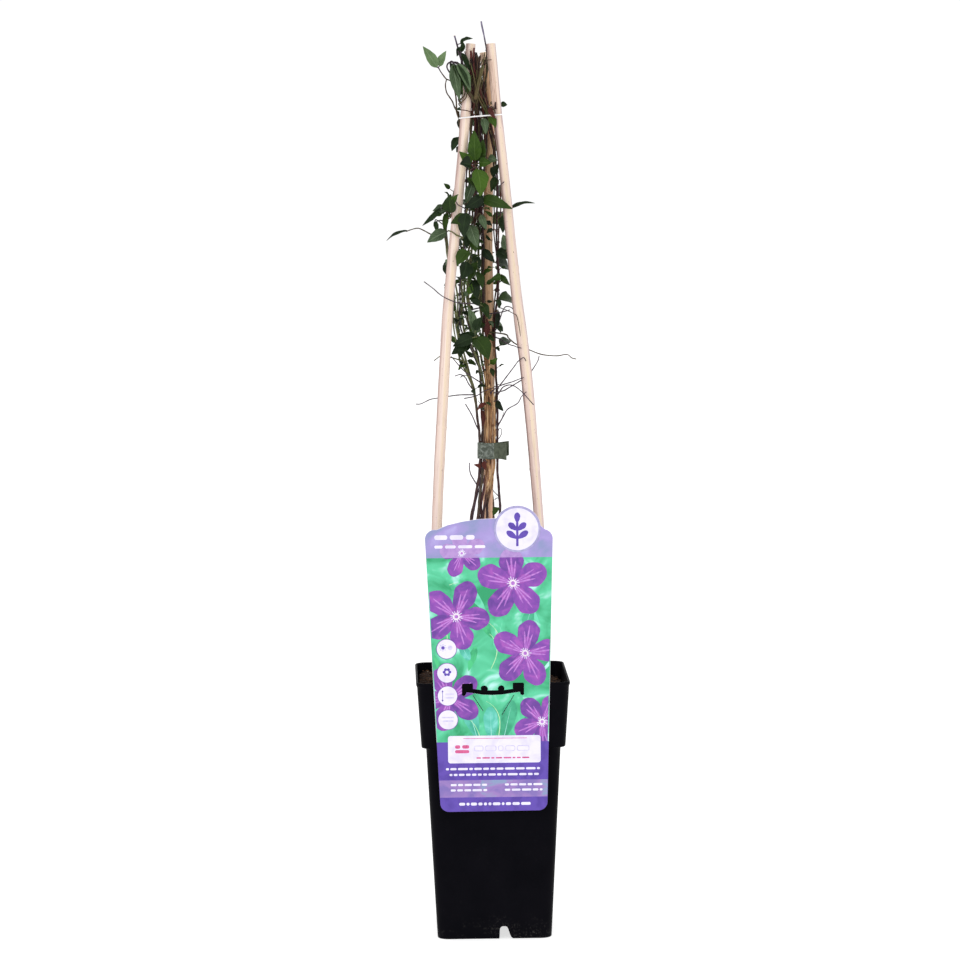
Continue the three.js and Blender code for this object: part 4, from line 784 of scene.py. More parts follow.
def cane_material(name, path, stops, streak_dark, amount, *tone_patches):
    """Bamboo with painted shade: colour from one side of the cane to the other, darker towards both edges
    and darkest on its left, broken up by fibres along its length.
    """
    m = Mat(name, 0.46, Specular_IOR_Level=0.22)
    low, high = at(path, 200), at(path, 700)
    lean = (math.atan((high[1] - low[1]) / 500), -math.atan((high[0] - low[0]) / 500), 0)
    along = m.node("Mapping", Vector=m.co, Rotation=lean).outputs[0]
    fibre = m.noise(m.space((1, 1, 0.012), source=along), 1.6, 5, 0.7)
    band = m.noise(m.space((1, 1, 0.008), source=along), 0.5, 3, 0.55)
    broad = m.noise(m.space((1, 1, 0.35)), 0.035, 3, 0.5)
    # painted shade: the place across the cane, stirred by bands and fibres, picks a dark left edge, a light
    # middle and a darker right edge
    across = m.add(m.shade(), m.mul(m.less(band, 0.5), 0.75))
    across = m.add(across, m.mul(m.less(fibre, 0.5), 0.7))
    colour = m.ramp(across, *stops)
    colour = m.blend(m.ramp(broad, 0.38, 0.12, 0.62, 0.0), colour, streak_dark)
    streak = m.ramp(m.noise(m.space((1, 1, 0.04), source=along), 0.7, 3, 0.6), 0.56, 0.0, 0.72, amount)
    colour = m.blend(streak, colour, streak_dark)
    dots = m.ramp(m.noise(m.space((1, 1, 0.5)), 0.9, 2, 0.5), 0.715, 0.0, 0.74, 0.85)
    colour = m.blend(dots, colour, "5c3e34")
    z = m.place()[2]
    # patches of another tone over a range of heights, on the part of the cane from its left up to side
    for low, high, side, dark, light in tone_patches:
        where = m.mul(m.window(z, low, high, 5), m.window(m.shade(), -0.2, side, 0.07))
        colour = m.blend(where, colour, m.ramp(fibre, 0.40, dark, 0.52, light))
    n = m.bump(fibre, 0.3, 0.25)
    return m.done(colour, m.ramp(broad, 0.3, 0.40, 0.7, 0.58), n)


def cut_material():
    m = Mat("cane_cut", 0.8)
    co = m.space()
    return m.done(m.ramp(m.noise(co, 2.2, 4, 0.7), 0.3, "ceb08e", 0.7, "f0dcc0"), None,
                  m.bump(m.noise(co, 3.0, 4, 0.7), 0.5, 0.3))


def stem_material(name, dark, light, hint):
    m = Mat(name, 0.55, Specular_IOR_Level=0.2)
    bark = m.noise(m.space((1, 1, 0.16)), 1.4, 4, 0.65)
    broad = m.noise(m.space((1, 1, 0.5)), 0.045, 3, 0.5)
    colour = m.ramp(bark, 0.28, dark, 0.72, light)
    colour = m.blend(m.ramp(broad, 0.42, 0.0, 0.66, 0.75), colour, hint)
    x, _, z = m.place()
    young = m.mul(m.window(z, 462, 596, 22), m.window(x, -44, -6, 2))
    colour = m.blend(m.mul(young, 0.8), colour,
                     m.ramp(bark, 0.34, "30321c", 0.62, "848a5c"))
    # purple-brown low down
    colour = m.blend(m.mul(m.window(z, -90, 452, 8), 0.62), colour,
                     m.ramp(bark, 0.3, "261420", 0.7, "5a4244"))
    woody = m.mul(m.window(z, 376, 504, 10), m.window(x, -3.2, 6.2, 0.7))
    fibre = m.add(m.mul(m.noise(m.space((1, 1, 0.03)), 0.8, 4, 0.65), 0.6),
                   m.mul(m.noise(m.space((1, 1, 0.3)), 0.22, 3, 0.6), 0.4))
    colour = m.blend(woody, colour, m.ramp(fibre, 0.40, "3a1e14", 0.48, "88603e",
                                           0.54, "b68e64", 0.62, "d4b88e"))
    # the crown's outer shoot is dark, and the free twig over the canes is bleached
    outer = m.mul(m.window(z, 738, 800, 3), m.window(x, -60, -18, 1))
    colour = m.blend(outer, colour, m.ramp(bark, 0.3, "281c24", 0.7, "4e404a"))
    colour = m.blend(m.window(z, 766, 800, 4), colour, m.ramp(bark, 0.3, "544e62", 0.7, "847c94"))
    return m.done(colour, None, m.bump(bark, 0.5, 0.35))


def leaf_material(name, dark, light, vein, under=False):
    m = Mat(name, 0.62 if under else 0.40, Specular_IOR_Level=0.08 if under else 0.12)
    uv = m.node("UVMap")
    uv.uv_map = "UVMap"
    parts = m.node("SeparateXYZ", Vector=uv.outputs[0])
    u = m.math("ABSOLUTE", m.mul(m.less(parts.outputs[0], 0.5), 2.0))
    v = parts.outputs[1]
    mid = m.ramp(u, 0.02, 1.0, 0.09, 0.0)
    wave = m.less(m.mul(v, 7.0), m.mul(m.math("POWER", u, 0.8), 2.3))
    side = m.math("PINGPONG", wave, 0.5)
    side = m.ramp(side, 0.0, 1.0, 0.10, 0.0)
    side = m.mul(side, m.ramp(u, 0.75, 1.0, 0.98, 0.0))
    veins = m.math("MAXIMUM", mid, m.mul(side, 0.6))
    co = m.space()
    blotch = m.noise(co, 0.16, 4, 0.6)
    mixer = m.add(m.mul(blotch, 0.6), m.mul(m.shade(), 0.5))
    colour = m.ramp(mixer, 0.25, dark, 0.8, light)
    colour = m.blend(m.mul(veins, 0.34 if not under else 0.25), colour, vein)
    height = m.less(m.noise(co, 0.9, 3, 0.6), m.mul(veins, 0.9 if not under else -0.9))
    n = m.bump(height, 0.45, 0.28)
    return m.done(colour, None, n)


def plain_material(name, dark, light, rough, scale=0.3, bump=0.2, distance=0.2, **sockets):
    m = Mat(name, rough, **sockets)
    co = m.space()
    colour = m.ramp(m.noise(co, scale, 4, 0.6), 0.3, dark, 0.7, light)
    return m.done(colour, None, m.bump(m.noise(co, scale * 3, 4, 0.6), bump, distance))


def tie_material():
    """Green-grey tape: glossy, with painted highlight swirls where it is stretched round, plain and olive
    along its loose end.
    """
    m = Mat("tie_tape", 0.34, Specular_IOR_Level=0.35)
    co = m.space()
    sheen_swirl = m.noise(co, 0.16, 4, 0.55, 2.2)
    # the pale stop in this ramp is a painted highlight
    loop = m.ramp(sheen_swirl, 0.36, "40483e", 0.50, "545c52", 0.60, "808880",
                  0.70, "5a6058")
    tail = m.ramp(m.noise(co, 0.3, 3, 0.5), 0.3, "3a4232", 0.7, "545c4a")
    x = m.place()[0]
    return m.done(m.blend(m.window(x, 4.6, 90, 0.25), loop, tail), None, m.bump(sheen_swirl, 0.5, 0.8))


POT = pot_material()
SOIL = [soil_material(i) for i in range(3)]
# each ramp paints shade: a dark left edge, a light middle and a darker right edge
CANE_MATS = [
    cane_material("bamboo_left", LEFT.path, (
        0.0, "a88e88", 0.16, "ceb4aa", 0.42, "e6d4ca",
        0.66, "e0ccb2", 0.86, "dec8ba", 1.0, "baa4a0"), "a88a7e", 0.25),
    cane_material("bamboo_right", RIGHT.path, (
        0.0, "705a58", 0.15, "b89e96", 0.38, "dcc6bc",
        0.62, "e0ceb2", 0.84, "dec8c0", 1.0, "b49e9c"), "967668", 0.4,
        (706, 752, 0.62, "9e7e6c", "d8beae")),
    cane_material("bamboo_back", BACK.path, (
        0.0, "704a32", 0.20, "b0825c", 0.45, "dab490",
        0.68, "cea47e", 0.84, "dcbc9a", 1.0, "9e7658"), "5c3420", 0.9,
        (743, 800, 1.2, "b4947e", "dec6ae"),
        (180, 428, 1.2, "c0967a", "d8ae90")),
]
CUT = cut_material()
STEM_MATS = [
    stem_material("stem_brown", "221612", "584232", "46442a"),
    stem_material("stem_dark", "120a0c", "301c1c", "3a1416"),
    stem_material("stem_red", "361214", "68302a", "3a261e"),
    stem_material("stem_green", "2e301a", "6c6c42", "563a2a"),
]
THREAD = plain_material("thread_brown", "2c222a", "584a54", 0.6, 0.2, 0.2, 0.1, Specular_IOR_Level=0.2)
# tone, then the dark, light and vein colours of the upper side and of the underside
LEAF_TONES = [
    ("dark", ("0a140a", "213219", "364a2a"), ("2c382e", "505e4c", "68745e")),
    ("mid", ("102008", "2e4415", "485c2c"), ("364630", "5e7050", "788868")),
    ("bright", ("183008", "3e5a18", "647c40"), ("3e562c", "6a824c", "889c6c")),
    ("dry", ("280e0f", "5c2c26", "7a4a3c"), ("422a22", "765240", "8c6a56")),
    # grey: grey-green leaves, their light and vein colours lightened as a painted highlight
    ("grey", ("243422", "5c7050", "9cac8e"), ("3c4a3a", "707e62", "8c967a")),
    ("pale", ("526a46", "80986c", "96a884"), ("5c7052", "8a9c78", "a0ac8e")),
]
TOPS = [leaf_material(f"leaf_{name}", *top) for name, top, _ in LEAF_TONES]
UNDERS = [leaf_material(f"leaf_under_{name}", *under, True) for name, _, under in LEAF_TONES]
TIE = tie_material()
BAND = plain_material("white_elastic", "dedcde", "f6f5f6", 0.55, 0.8, 0.3, 0.1)

# ------------------------------------------------------------------ mesh tools
ROOT = "root"


def new_mesh(name, points, faces):
    """A mesh from points in millimetres of the plan."""
    mesh = bpy.data.meshes.new(name)
    mesh.from_pydata([((x + OX) / 1000, (y + OY) / 1000, z / 1000) for x, y, z in points], [], faces)
    return mesh


def linked(name, data):
    obj = bpy.data.objects.new(name, data)
    bpy.context.collection.objects.link(obj)
    return obj


def neighbours(points, i, closed):
    """The points before and after one, round the end of a closed line."""
    n = len(points)
    if closed:
        return points[(i - 1) % n], points[(i + 1) % n]
    return points[max(0, i - 1)], points[min(n - 1, i + 1)]


class Shape:
    """Gathers faces in millimetres, then becomes one object.

    A vertex's tag is its value of shade, which some materials read.
    """

    def __init__(self):
        self.v, self.f, self.mat, self.uv, self.tag = [], [], [], [], []

    def vert(self, p, tag=0.0):
        self.v.append((p[0], p[1], p[2]))
        self.tag.append(tag)
        return len(self.v) - 1

    def verts(self, points, tag=0.0):
        return [self.vert(p, tag) for p in points]

    def face(self, ids, mat=0, uv=None):
        self.f.append(tuple(ids))
        self.mat.append(mat)
        self.uv.append(uv)

    def bridge(self, a, b, mat=0, flip=False):
        """Faces between two closed rings."""
        for i in range(len(a)):
            j = (i + 1) % len(a)
            self.face((a[j], a[i], b[i], b[j]) if flip else (a[i], a[j], b[j], b[i]), mat)

    def tube(self, points, radius, sides, mat=0, cap_mat=None, closed=False):
        """A round tube along the points; radius is a number or depends on the share of the way."""
        n = len(points)
        rings, normal = [], None
        for i, p in enumerate(points):
            t = unit(sub(*neighbours(points, i, closed)[::-1]))
            if normal is None:
                normal = (1, 0, 0) if abs(t[2]) > 0.7 else (0, 0, 1)
            normal = unit(add(normal, t, -dot(normal, t)))
            side = cross(t, normal)
            r = radius(i / max(1, n - 1)) if callable(radius) else radius
            turns = [k / sides * 2 * math.pi for k in range(sides)]
            rings.append(self.verts(
                add(add(p, normal, math.cos(a) * r), side, math.sin(a) * r) for a in turns))
        for i in range(n if closed else n - 1):
            self.bridge(rings[i], rings[(i + 1) % n], mat)
        if not closed:
            self.face(rings[0][::-1], mat)
            self.face(rings[-1], mat if cap_mat is None else cap_mat)
        return rings

    def make(self, name, materials, auto=None):
        """The object; edges bent by more than auto degrees look sharp."""
        mesh = new_mesh(name, self.v, self.f)
        for m in materials:
            mesh.materials.append(m)
        mesh.polygons.foreach_set("material_index", self.mat)
        mesh.polygons.foreach_set("use_smooth", [True] * len(self.f))
        if any(self.tag):
            layer = mesh.attributes.new("shade", "FLOAT", "POINT")
            layer.data.foreach_set("value", self.tag)
        if any(self.uv):
            corners = [c for f, u in zip(self.f, self.uv) for c in (u or [(0.0, 0.0)] * len(f))]
            mesh.uv_layers.new(name="UVMap").data.foreach_set("uv", [v for c in corners for v in c])
        mesh.update()
        if auto is not None:
            mesh.set_sharp_from_angle(angle=math.radians(auto))
        return linked(name, mesh)


def settle(obj, slot_name, *nodes):
    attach(obj, ROOT)
    if nodes:
        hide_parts(*nodes)
    return obj


def shaped(obj):
    """The object with its modifiers made part of its mesh."""
    dg = bpy.context.evaluated_depsgraph_get()
    mesh = bpy.data.meshes.new_from_object(obj.evaluated_get(dg))
    old = obj.data
    obj.modifiers.clear()
    obj.data = mesh
    bpy.data.meshes.remove(old)
    return obj


# ------------------------------------------------------------------ pot
CORNER_STEPS = 8


def disc(cx, cz, r, count=40):
    """Points of a circle."""
    return [(cx + r * math.cos(i / count * 2 * math.pi), cz + r * math.sin(i / count * 2 * math.pi))
            for i in range(count)]


def rounded_square(half, z, corner):
    """A level square ring with round corners."""
    out = []
    for c in range(4):
        cx = (1 if c in (0, 3) else -1) * (half - corner)
        cy = (1 if c < 2 else -1) * (half - corner)
        for i in range(CORNER_STEPS + 1):
            a = math.radians(c * 90 + i * 90 / CORNER_STEPS)
            out.append((cx + corner * math.cos(a), cy + corner * math.sin(a), z))
    return out


def pot_outer(z):
    """Half the pot's width at the height z."""
    if z < COLLAR_Z:
        return mix(POT_FOOT, POT_WAIST, min(1, z / (COLLAR_Z - 1)))
    return mix(COLLAR_FOOT, POT_RIM, (z - COLLAR_Z) / (POT_HEIGHT - COLLAR_Z))


def loft(shape, rings):
    """Rings of points joined one to the next."""
    ids = [shape.verts(ring) for ring in rings]
    for a, b in zip(ids, ids[1:]):
        shape.bridge(a, b)
    return ids


def prism(outline, low, high, name):
    """A closed solid between the outline seen through low and through high."""
    n = len(outline)
    faces = [tuple(range(n))[::-1], tuple(range(n, 2 * n))]
    faces += [(i, (i + 1) % n, n + (i + 1) % n, n + i) for i in range(n)]
    mesh = new_mesh(name, [low(p) for p in outline] + [high(p) for p in outline], faces)
    bm = bmesh.new()
    bm.from_mesh(mesh)
    bmesh.ops.recalc_face_normals(bm, faces=bm.faces)
    bm.to_mesh(mesh)
    bm.free()
    return linked(name, mesh)


def make_pot():
    s = Shape()
    c, w = POT_CORNER, POT_CORNER - POT_WALL
    # half width, height and corner radius from the foot, up outside, over the lip and down inside
    rows = [(POT_FOOT - 2.0, 0.5, c - 2.0), (POT_FOOT - 1.6, 0, c - 1.6), (POT_FOOT - 0.4, 0, c - 0.4),
            (POT_FOOT, 0.5, c)]
    rows += [(pot_outer(z), z, c) for z in (8, 30, 60, 90, 120, 145, 160)]
    rows += [(POT_WAIST - 0.05, 165.2, c), (POT_WAIST + 0.35, 165.9, c), (COLLAR_FOOT - 0.6, 166.7, c),
             (COLLAR_FOOT - 0.1, 167.1, c), (COLLAR_FOOT + 0.05, 168.2, c)]
    rows += [(pot_outer(z), z, c) for z in (180, 200, 214)]
    rows += [(64.65, 219.2, c), (65.0, 220.1, c), (65.35, 220.7, c + 0.3), (65.5, 221.8, c + 0.4),
             (65.35, 222.9, c + 0.3), (64.9, 223.45, c), (64.3, 223.5, c - 0.6), (63.8, 223.1, c - 1.1),
             (63.55, 222.2, c - 1.4)]
    rows += [(pot_outer(z) - POT_WALL, z, w) for z in (212, 190, 170.2)]
    rows += [(COLLAR_FOOT - POT_WALL, COLLAR_Z + 1.6, w), (POT_WAIST - POT_WALL, COLLAR_Z + 0.4, w)]
    rows += [(pot_outer(z) - POT_WALL, z, w) for z in (120, 60, 14)]
    rows.append((pot_outer(FLOOR_TOP) - POT_WALL - 1, FLOOR_TOP, w - 1))
    ids = loft(s, [rounded_square(*row) for row in rows])
    s.face(ids[-1])
    last = ids[0]
    for row in ((POT_FOOT - 2.0, FOOT_RECESS - 0.6, c - 2.0), (POT_FOOT - 2.8, FOOT_RECESS, c - 2.8)):
        ring = s.verts(rounded_square(*row))
        s.bridge(last, ring, flip=True)
        last = ring
    s.face(last[::-1])
    pot = s.make("pot_moulded", [POT])
    tools = []
    top = NOTCH_HEIGHT
    notch = [(3.2, -2), (16.6, -2), (15.4, 0.2), (14.4, 0.8), (13.6, 2), (12.8, 3.8), (11.4, top - 2.6),
             (10.7, top - 1), (9.9, top - 0.3), (9.0, top), (6.8, top), (5.8, top - 0.3), (5.0, top - 0.9),
             (4.4, top - 1.9), (4.2, top - 2.8), (3.9, 1.2), (3.6, 0.4)]
    for side in range(4):
        cos, sin = math.cos(math.radians(90 * side)), math.sin(math.radians(90 * side))

        def turned(y):
            return lambda p: (p[0] * cos - y * sin, p[0] * sin + y * cos, p[1])

        tools.append(prism(notch, turned(-POT_FOOT - 5), turned(-POT_FOOT + 9), f"notch_{side}"))
    for n, (x, y) in enumerate([(0, 0), (30, 30), (-30, 30), (30, -30), (-30, -30)]):
        tools.append(prism(disc(x, y, 4, 24), lambda p: (*p, 4), lambda p: (*p, 20), f"drain_{n}"))
    for tool in tools:
        mod = pot.modifiers.new("cut", "BOOLEAN")
        mod.operation, mod.solver, mod.object = "DIFFERENCE", "EXACT", tool
    shaped(pot)
    for tool in tools:
        bpy.data.objects.remove(tool)
    pot.data.polygons.foreach_set("use_smooth", [True] * len(pot.data.polygons))
    pot.data.set_sharp_from_angle(angle=math.radians(38))
    settle(pot, "pot_plastic", "pot")


# ------------------------------------------------------------------ soil
SOIL_STEPS, SOIL_SEED, CRUMBS, FIBRES = 120, 771, 620, 150


def soil_height(x, y):
    """The compost's gentle swell, as in the solid."""
    return (SOIL_TOP - 0.05 * x + 0.015 * y + 1.1 * math.sin(x * 0.19 + 1.1) * math.cos(y * 0.17)
            + 0.7 * math.sin(x * 0.41 + y * 0.33))


def crumbs(x, y):
    """The rough grain that lies on that swell."""
    v = Vector((x * 0.16, y * 0.16, 3.1))
    return noise.fractal(v, 0.9, 2.1, 4) * 1.7 + noise.noise(Vector((x * 0.8, y * 0.8, 9))) * 0.7


def make_soil():
    s = Shape()
    half = pot_outer(SOIL_TOP - 4) - POT_WALL - CLEAR - 0.2
    n = SOIL_STEPS
    corner = POT_CORNER - POT_WALL - CLEAR
    grid = []
    for j in range(n + 1):
        row = []
        for i in range(n + 1):
            x, y = (i / n * 2 - 1) * half, (j / n * 2 - 1) * half
            ex, ey = max(0, abs(x) - (half - corner)), max(0, abs(y) - (half - corner))
            d = math.hypot(ex, ey)
            if d > corner:
                x = math.copysign(half - corner + ex * corner / d, x)
                y = math.copysign(half - corner + ey * corner / d, y)
            rim = min(1, max(0, (max(abs(x), abs(y)) - half + 4) / 4))
            z = soil_height(x, y) + crumbs(x, y) - 1.2 * rim - 0.6
            row.append(s.vert((x, y, z)))
        grid.append(row)
    for j in range(n):
        for i in range(n):
            s.face((grid[j][i], grid[j][i + 1], grid[j + 1][i + 1], grid[j + 1][i]))
    edge = ([grid[0][i] for i in range(n)] + [grid[j][n] for j in range(n)]
            + [grid[n][i] for i in range(n, 0, -1)] + [grid[j][0] for j in range(n, 0, -1)])
    levels = [(COLLAR_Z + 2.3, COLLAR_FOOT - POT_WALL - CLEAR - 0.2),
              (COLLAR_Z + 0.7, POT_WAIST - POT_WALL - CLEAR - 0.3),
              (FLOOR_TOP + CLEAR, pot_outer(FLOOR_TOP) - POT_WALL - CLEAR - 0.8)]
    last = edge
    for z, wide in levels:
        k = wide / half
        ring = s.verts((s.v[e][0] * k, s.v[e][1] * k, z) for e in edge)
        s.bridge(last, ring, flip=True)
        last = ring
    s.face(last[::-1])
    # crumbs of bark, pale grit and fibres lying on top
    draw = random_from(SOIL_SEED)
    for _ in range(CRUMBS):
        x, y = (draw() * 2 - 1) * (half - 3), (draw() * 2 - 1) * (half - 3)
        r = 0.5 + 1.6 * draw() ** 2
        tone = 1 if draw() < 0.32 else (2 if draw() < 0.06 else 0)
        z = soil_height(x, y) + crumbs(x, y) - 0.6 + r * 0.25
        chunk(s, (x, y, z), r, draw, tone)
    for _ in range(FIBRES):
        x, y = (draw() * 2 - 1) * (half - 6), (draw() * 2 - 1) * (half - 6)
        a, long = draw() * 6.28, 3 + 7 * draw()
        pts = []
        for i in range(5):
            t = i / 4 - 0.5
            px = x + math.cos(a + t * 1.4) * long * t
            py = y + math.sin(a + t * 1.4) * long * t
            pts.append((px, py, soil_height(px, py) + crumbs(px, py) + 0.1 + 0.8 * draw()))
        s.tube(pts, lambda t: 0.16 + 0.1 * math.sin(math.pi * t), 4, 1)
    settle(s.make("compost_top", SOIL), "compost", "soil")


def chunk(s, centre, r, draw, mat):
    """A small angular crumb."""
    a = draw() * 6.28
    ca, sa = math.cos(a), math.sin(a)
    sx, sy, sz = r * (0.7 + 0.7 * draw()), r * (0.5 + 0.5 * draw()), r * (0.35 + 0.4 * draw())
    ids = []
    for dx, dy, dz in ((1, 0, 0), (0, 1, 0), (-1, 0, 0), (0, -1, 0), (0, 0, 1), (0, 0, -1)):
        jx, jy, jz = dx * sx * (0.8 + 0.4 * draw()), dy * sy * (0.8 + 0.4 * draw()), dz * sz
        ids.append(s.vert((centre[0] + jx * ca - jy * sa, centre[1] + jx * sa + jy * ca, centre[2] + jz)))
    e, n, w, so, t, b = ids
    for tri in ((e, n, t), (n, w, t), (w, so, t), (so, e, t), (n, e, b), (w, n, b), (so, w, b), (e, so, b)):
        s.face(tri, mat)


# ------------------------------------------------------------------ canes
CANE_SIDES, CANE_STEP, NEAR_JOINT = 28, 3, (-3, -1.6, -0.8, -0.3, 0, 0.4, 0.9, 1.8, 3)


def make_canes():
    for index, cane in enumerate(CANES):
        s = Shape()
        zs = sorted({*range(CANE_FOOT, cane.top - 1, CANE_STEP), cane.top - 0.5, cane.top}
                    | {j + d for j in cane.joints for d in NEAR_JOINT})
        points, radii = [], []
        for z in zs:
            above = min((z - j for j in cane.joints), key=abs)
            swell = 0.30 * math.exp(-(abs(above) / 1.6) ** 2) - 0.14 * math.exp(-((above - 1.1) / 0.5) ** 2)
            wander = 0.10 * math.sin(z * 0.11 + index) + 0.06 * math.sin(z * 0.31 + 2 * index)
            r = cane_radius(cane, z) - 0.05 + swell + wander * 0.5
            radii.append(r - 0.35 if z == cane.top else r)
            points.append(point_at(cane.path, z))
        end = len(points) - 1
        rings = s.tube(points, lambda t: radii[round(t * end)], CANE_SIDES, 0, 1)
        # the shade runs from 0 on the cane's left to 1 on its right; the cane's ramp paints shade from it,
        # darkest at the left edge
        for ring, p, r in zip(rings, points, radii):
            for k in ring:
                s.tag[k] = 0.5 + 0.5 * (s.v[k][0] - p[0]) / r
        # the cut top is open: its cap gives way to a hollow middle
        x, y = at(cane.path, cane.top)
        for rows in (s.f, s.mat, s.uv):
            rows.pop()
        rim = [s.v[k] for k in rings[-1]]
        last = rings[-1]
        for share, drop in ((0.45, 0.0), (0.38, 0.3), (0.34, 2.5)):
            ring = s.verts((x + (px - x) * share, y + (py - y) * share, pz - drop) for px, py, pz in rim)
            s.bridge(last, ring, 1)
            last = ring
        s.face(last, 1)
        obj = s.make(cane.name + "_bamboo", [CANE_MATS[index], CUT], 50)
        settle(obj, "cane_brown" if cane is BACK else "cane_pale", cane.name)


# ------------------------------------------------------------------ tie and band
TAPE_THICK, TAPE_ROWS = 0.5, 6


def strip(s, path, closed, low, high):
    """Upright tape along a path; low and high give its edges' heights at each point."""
    n = len(path)
    rings = []
    for i, p in enumerate(path):
        a, b = neighbours(path, i, closed)
        t = unit((b[0] - a[0], b[1] - a[1], 0))
        ring = []
        for side, order in ((-1, range(TAPE_ROWS, -1, -1)), (1, range(TAPE_ROWS + 1))):
            for k in order:
                f = k / TAPE_ROWS
                wobble = 0.16 * math.sin(i * 1.3 + k * 0.9) * math.sin(math.pi * f)
                x = p[0] + t[1] * TAPE_THICK / 2 * side + t[1] * wobble
                y = p[1] - t[0] * TAPE_THICK / 2 * side - t[0] * wobble
                ring.append(s.vert((x, y, mix(low(i), high(i), f))))
        rings.append(ring)
    for i in range(n if closed else n - 1):
        a, b = rings[i], rings[(i + 1) % n]
        for k in range(len(a)):
            j = (k + 1) % len(a)
            s.face((a[k], b[k], b[j], a[j]))
    if not closed:
        s.face(rings[0])
        s.face(rings[-1][::-1])


def make_tie():
    s = Shape()
    loop = [(x, y, 0) for x, y in TIE_LOOP]
    fine = [p[:2] for p in smooth(loop + loop[:1], 1.0)[:-1]]
    strip(s, fine, True, lambda i: TIE_LOW + 0.25 * math.sin(i * 0.35),
          lambda i: TIE_HIGH + 0.2 * math.sin(i * 0.27 + 1))
    for line, (low_cut, high_cut) in zip(TIE_TAILS, TIE_CUTS):
        near = min(TIE_LOOP, key=lambda p: math.dist(p, line[0]))
        path = [p[:2] for p in smooth([(x, y, 0) for x, y in [near] + line[1:]], 0.9)]
        last = len(path) - 1

        def edge(i, row):
            t = i / last * 3
            k = min(2, int(t))
            return mix(row[k], row[k + 1], t - k)

        strip(s, path, False, lambda i: TIE_LOW + edge(i, low_cut), lambda i: TIE_HIGH + edge(i, high_cut))
    settle(s.make("tie_wrap", [TIE], 40), "tie_tape", "tie")


def make_band():
    s = Shape()
    line = smooth(BAND_LINE + BAND_LINE[:1], 1.0)[:-1]
    line = [(x, y, z + 0.25 * math.sin(i * 0.12)) for i, (x, y, z) in enumerate(line)]
    s.tube(line, BAND_RADIUS * 0.95, 10, 0, closed=True)
    settle(s.make("band_ring", [BAND]), "elastic", "band")


make_pot()
make_soil()
make_canes()
make_tie()
make_band()

# ------------------------------------------------------------------ label
LABEL_OUT = 0.03  # from one printed layer to the next


def on_label(x, z, layer=0.0):
    """A point on the label's printed face, or layer millimetres in front of it."""
    return (x, LABEL_Y - LABEL_LEAN * (z - POT_HEIGHT) - LABEL_THICK - layer, z)


def arc(cx, cy, r, start, end, count):
    return [(cx + r * math.cos(math.radians(mix(start, end, i / count))),
             cy + r * math.sin(math.radians(mix(start, end, i / count)))) for i in range(count + 1)]


LABEL_EDGE = (arc(-38.4, 120.6, 7.6, 184, 270, 10) + arc(37.6, 121, 7.6, 270, 356, 10)
              + arc(42.8, 346.6, 8.2, 0, 78, 10) + arc(21, 355, 20, 8, 152, 36)
              + [(-12, 363.8), (-25, 362), (-38, 359)] + arc(-48.8, 347, 8.2, 78, 180, 10))
LABEL_SLOT = xz(
    -26.8,222.6, -26,223.4, -17.4,223.6, -17.4,218.9, -10.6,217.9, -10.9,219.8, -9.9,221.3, -7.8,221.8,
    -5.8,221, -4.7,219.3, -5,217.5, 3.9,217.5, 3.6,219.3, 4.6,221.1, 6.6,221.8, 8.4,221.1, 9.4,219.3,
    9,217.7, 16.3,218.5, 16.3,223.8, 25,223.8, 25.9,222.9, 25.9,213.6, 24.6,212.9, 22.9,213.6,
    22.4,215.8, 16.5,215.1, 8,213.8, -0.5,213.4, -9,213.7, -17.4,215.2, -22.8,216, -23.9,213.4,
    -25.2,212.6, -26.8,213.4)
LABEL_SLITS = [
    xz(-17.8,213.2, -17.3,213.5, -8.7,200, -9.2,199.7),
    xz(17.1,213.5, 17.6,213.2, 7.2,196, 6.7,196.3)]


def area(points):
    """The outline's area, negative if it runs clockwise."""
    return sum(a[0] * b[1] - b[0] * a[1] for a, b in zip(points, points[1:] + points[:1])) / 2


def inside(p, loop):
    """Whether the point lies within the outline."""
    hit = False
    for (x0, y0), (x1, y1) in zip(loop, loop[1:] + loop[:1]):
        if (y0 > p[1]) != (y1 > p[1]) and p[0] < (x1 - x0) * (p[1] - y0) / (y1 - y0) + x0:
            hit = not hit
    return hit


def plate_faces(outer, holes):
    """Points and triangles of a flat outline with holes."""
    points, faces = [], []
    for loop in [outer, *holes]:
        ring = list(range(len(points), len(points) + len(loop)))
        points += [Vector(p) for p in loop]
        faces.append(ring if (area(loop) > 0) == (loop is outer) else ring[::-1])
    out = geometry.delaunay_2d_cdt(points, [], faces, 2, 1e-6, True)
    points, keep = [tuple(p) for p in out[0]], []
    for f in out[2]:
        c = [sum(points[k][i] for k in f) / len(f) for i in (0, 1)]
        if inside(c, outer) and not any(inside(c, h) for h in holes):
            keep.append(tuple(f))
    return points, keep


def shrink(loop, by):
    """The outline moved inward by that many millimetres."""
    n, sign = len(loop), 1 if area(loop) > 0 else -1
    out = []
    for i in range(n):
        a, b, c = loop[i - 1], loop[i], loop[(i + 1) % n]
        d0, d1 = (b[0] - a[0], b[1] - a[1]), (c[0] - b[0], c[1] - b[1])
        l0, l1 = math.hypot(*d0) or 1, math.hypot(*d1) or 1
        n0, n1 = (-d0[1] / l0, d0[0] / l0), (-d1[1] / l1, d1[0] / l1)
        m = (n0[0] + n1[0], n0[1] + n1[1])
        k = by * sign * 2 / max(0.6, m[0] ** 2 + m[1] ** 2)
        out.append((b[0] + m[0] * k, b[1] + m[1] * k))
    return out


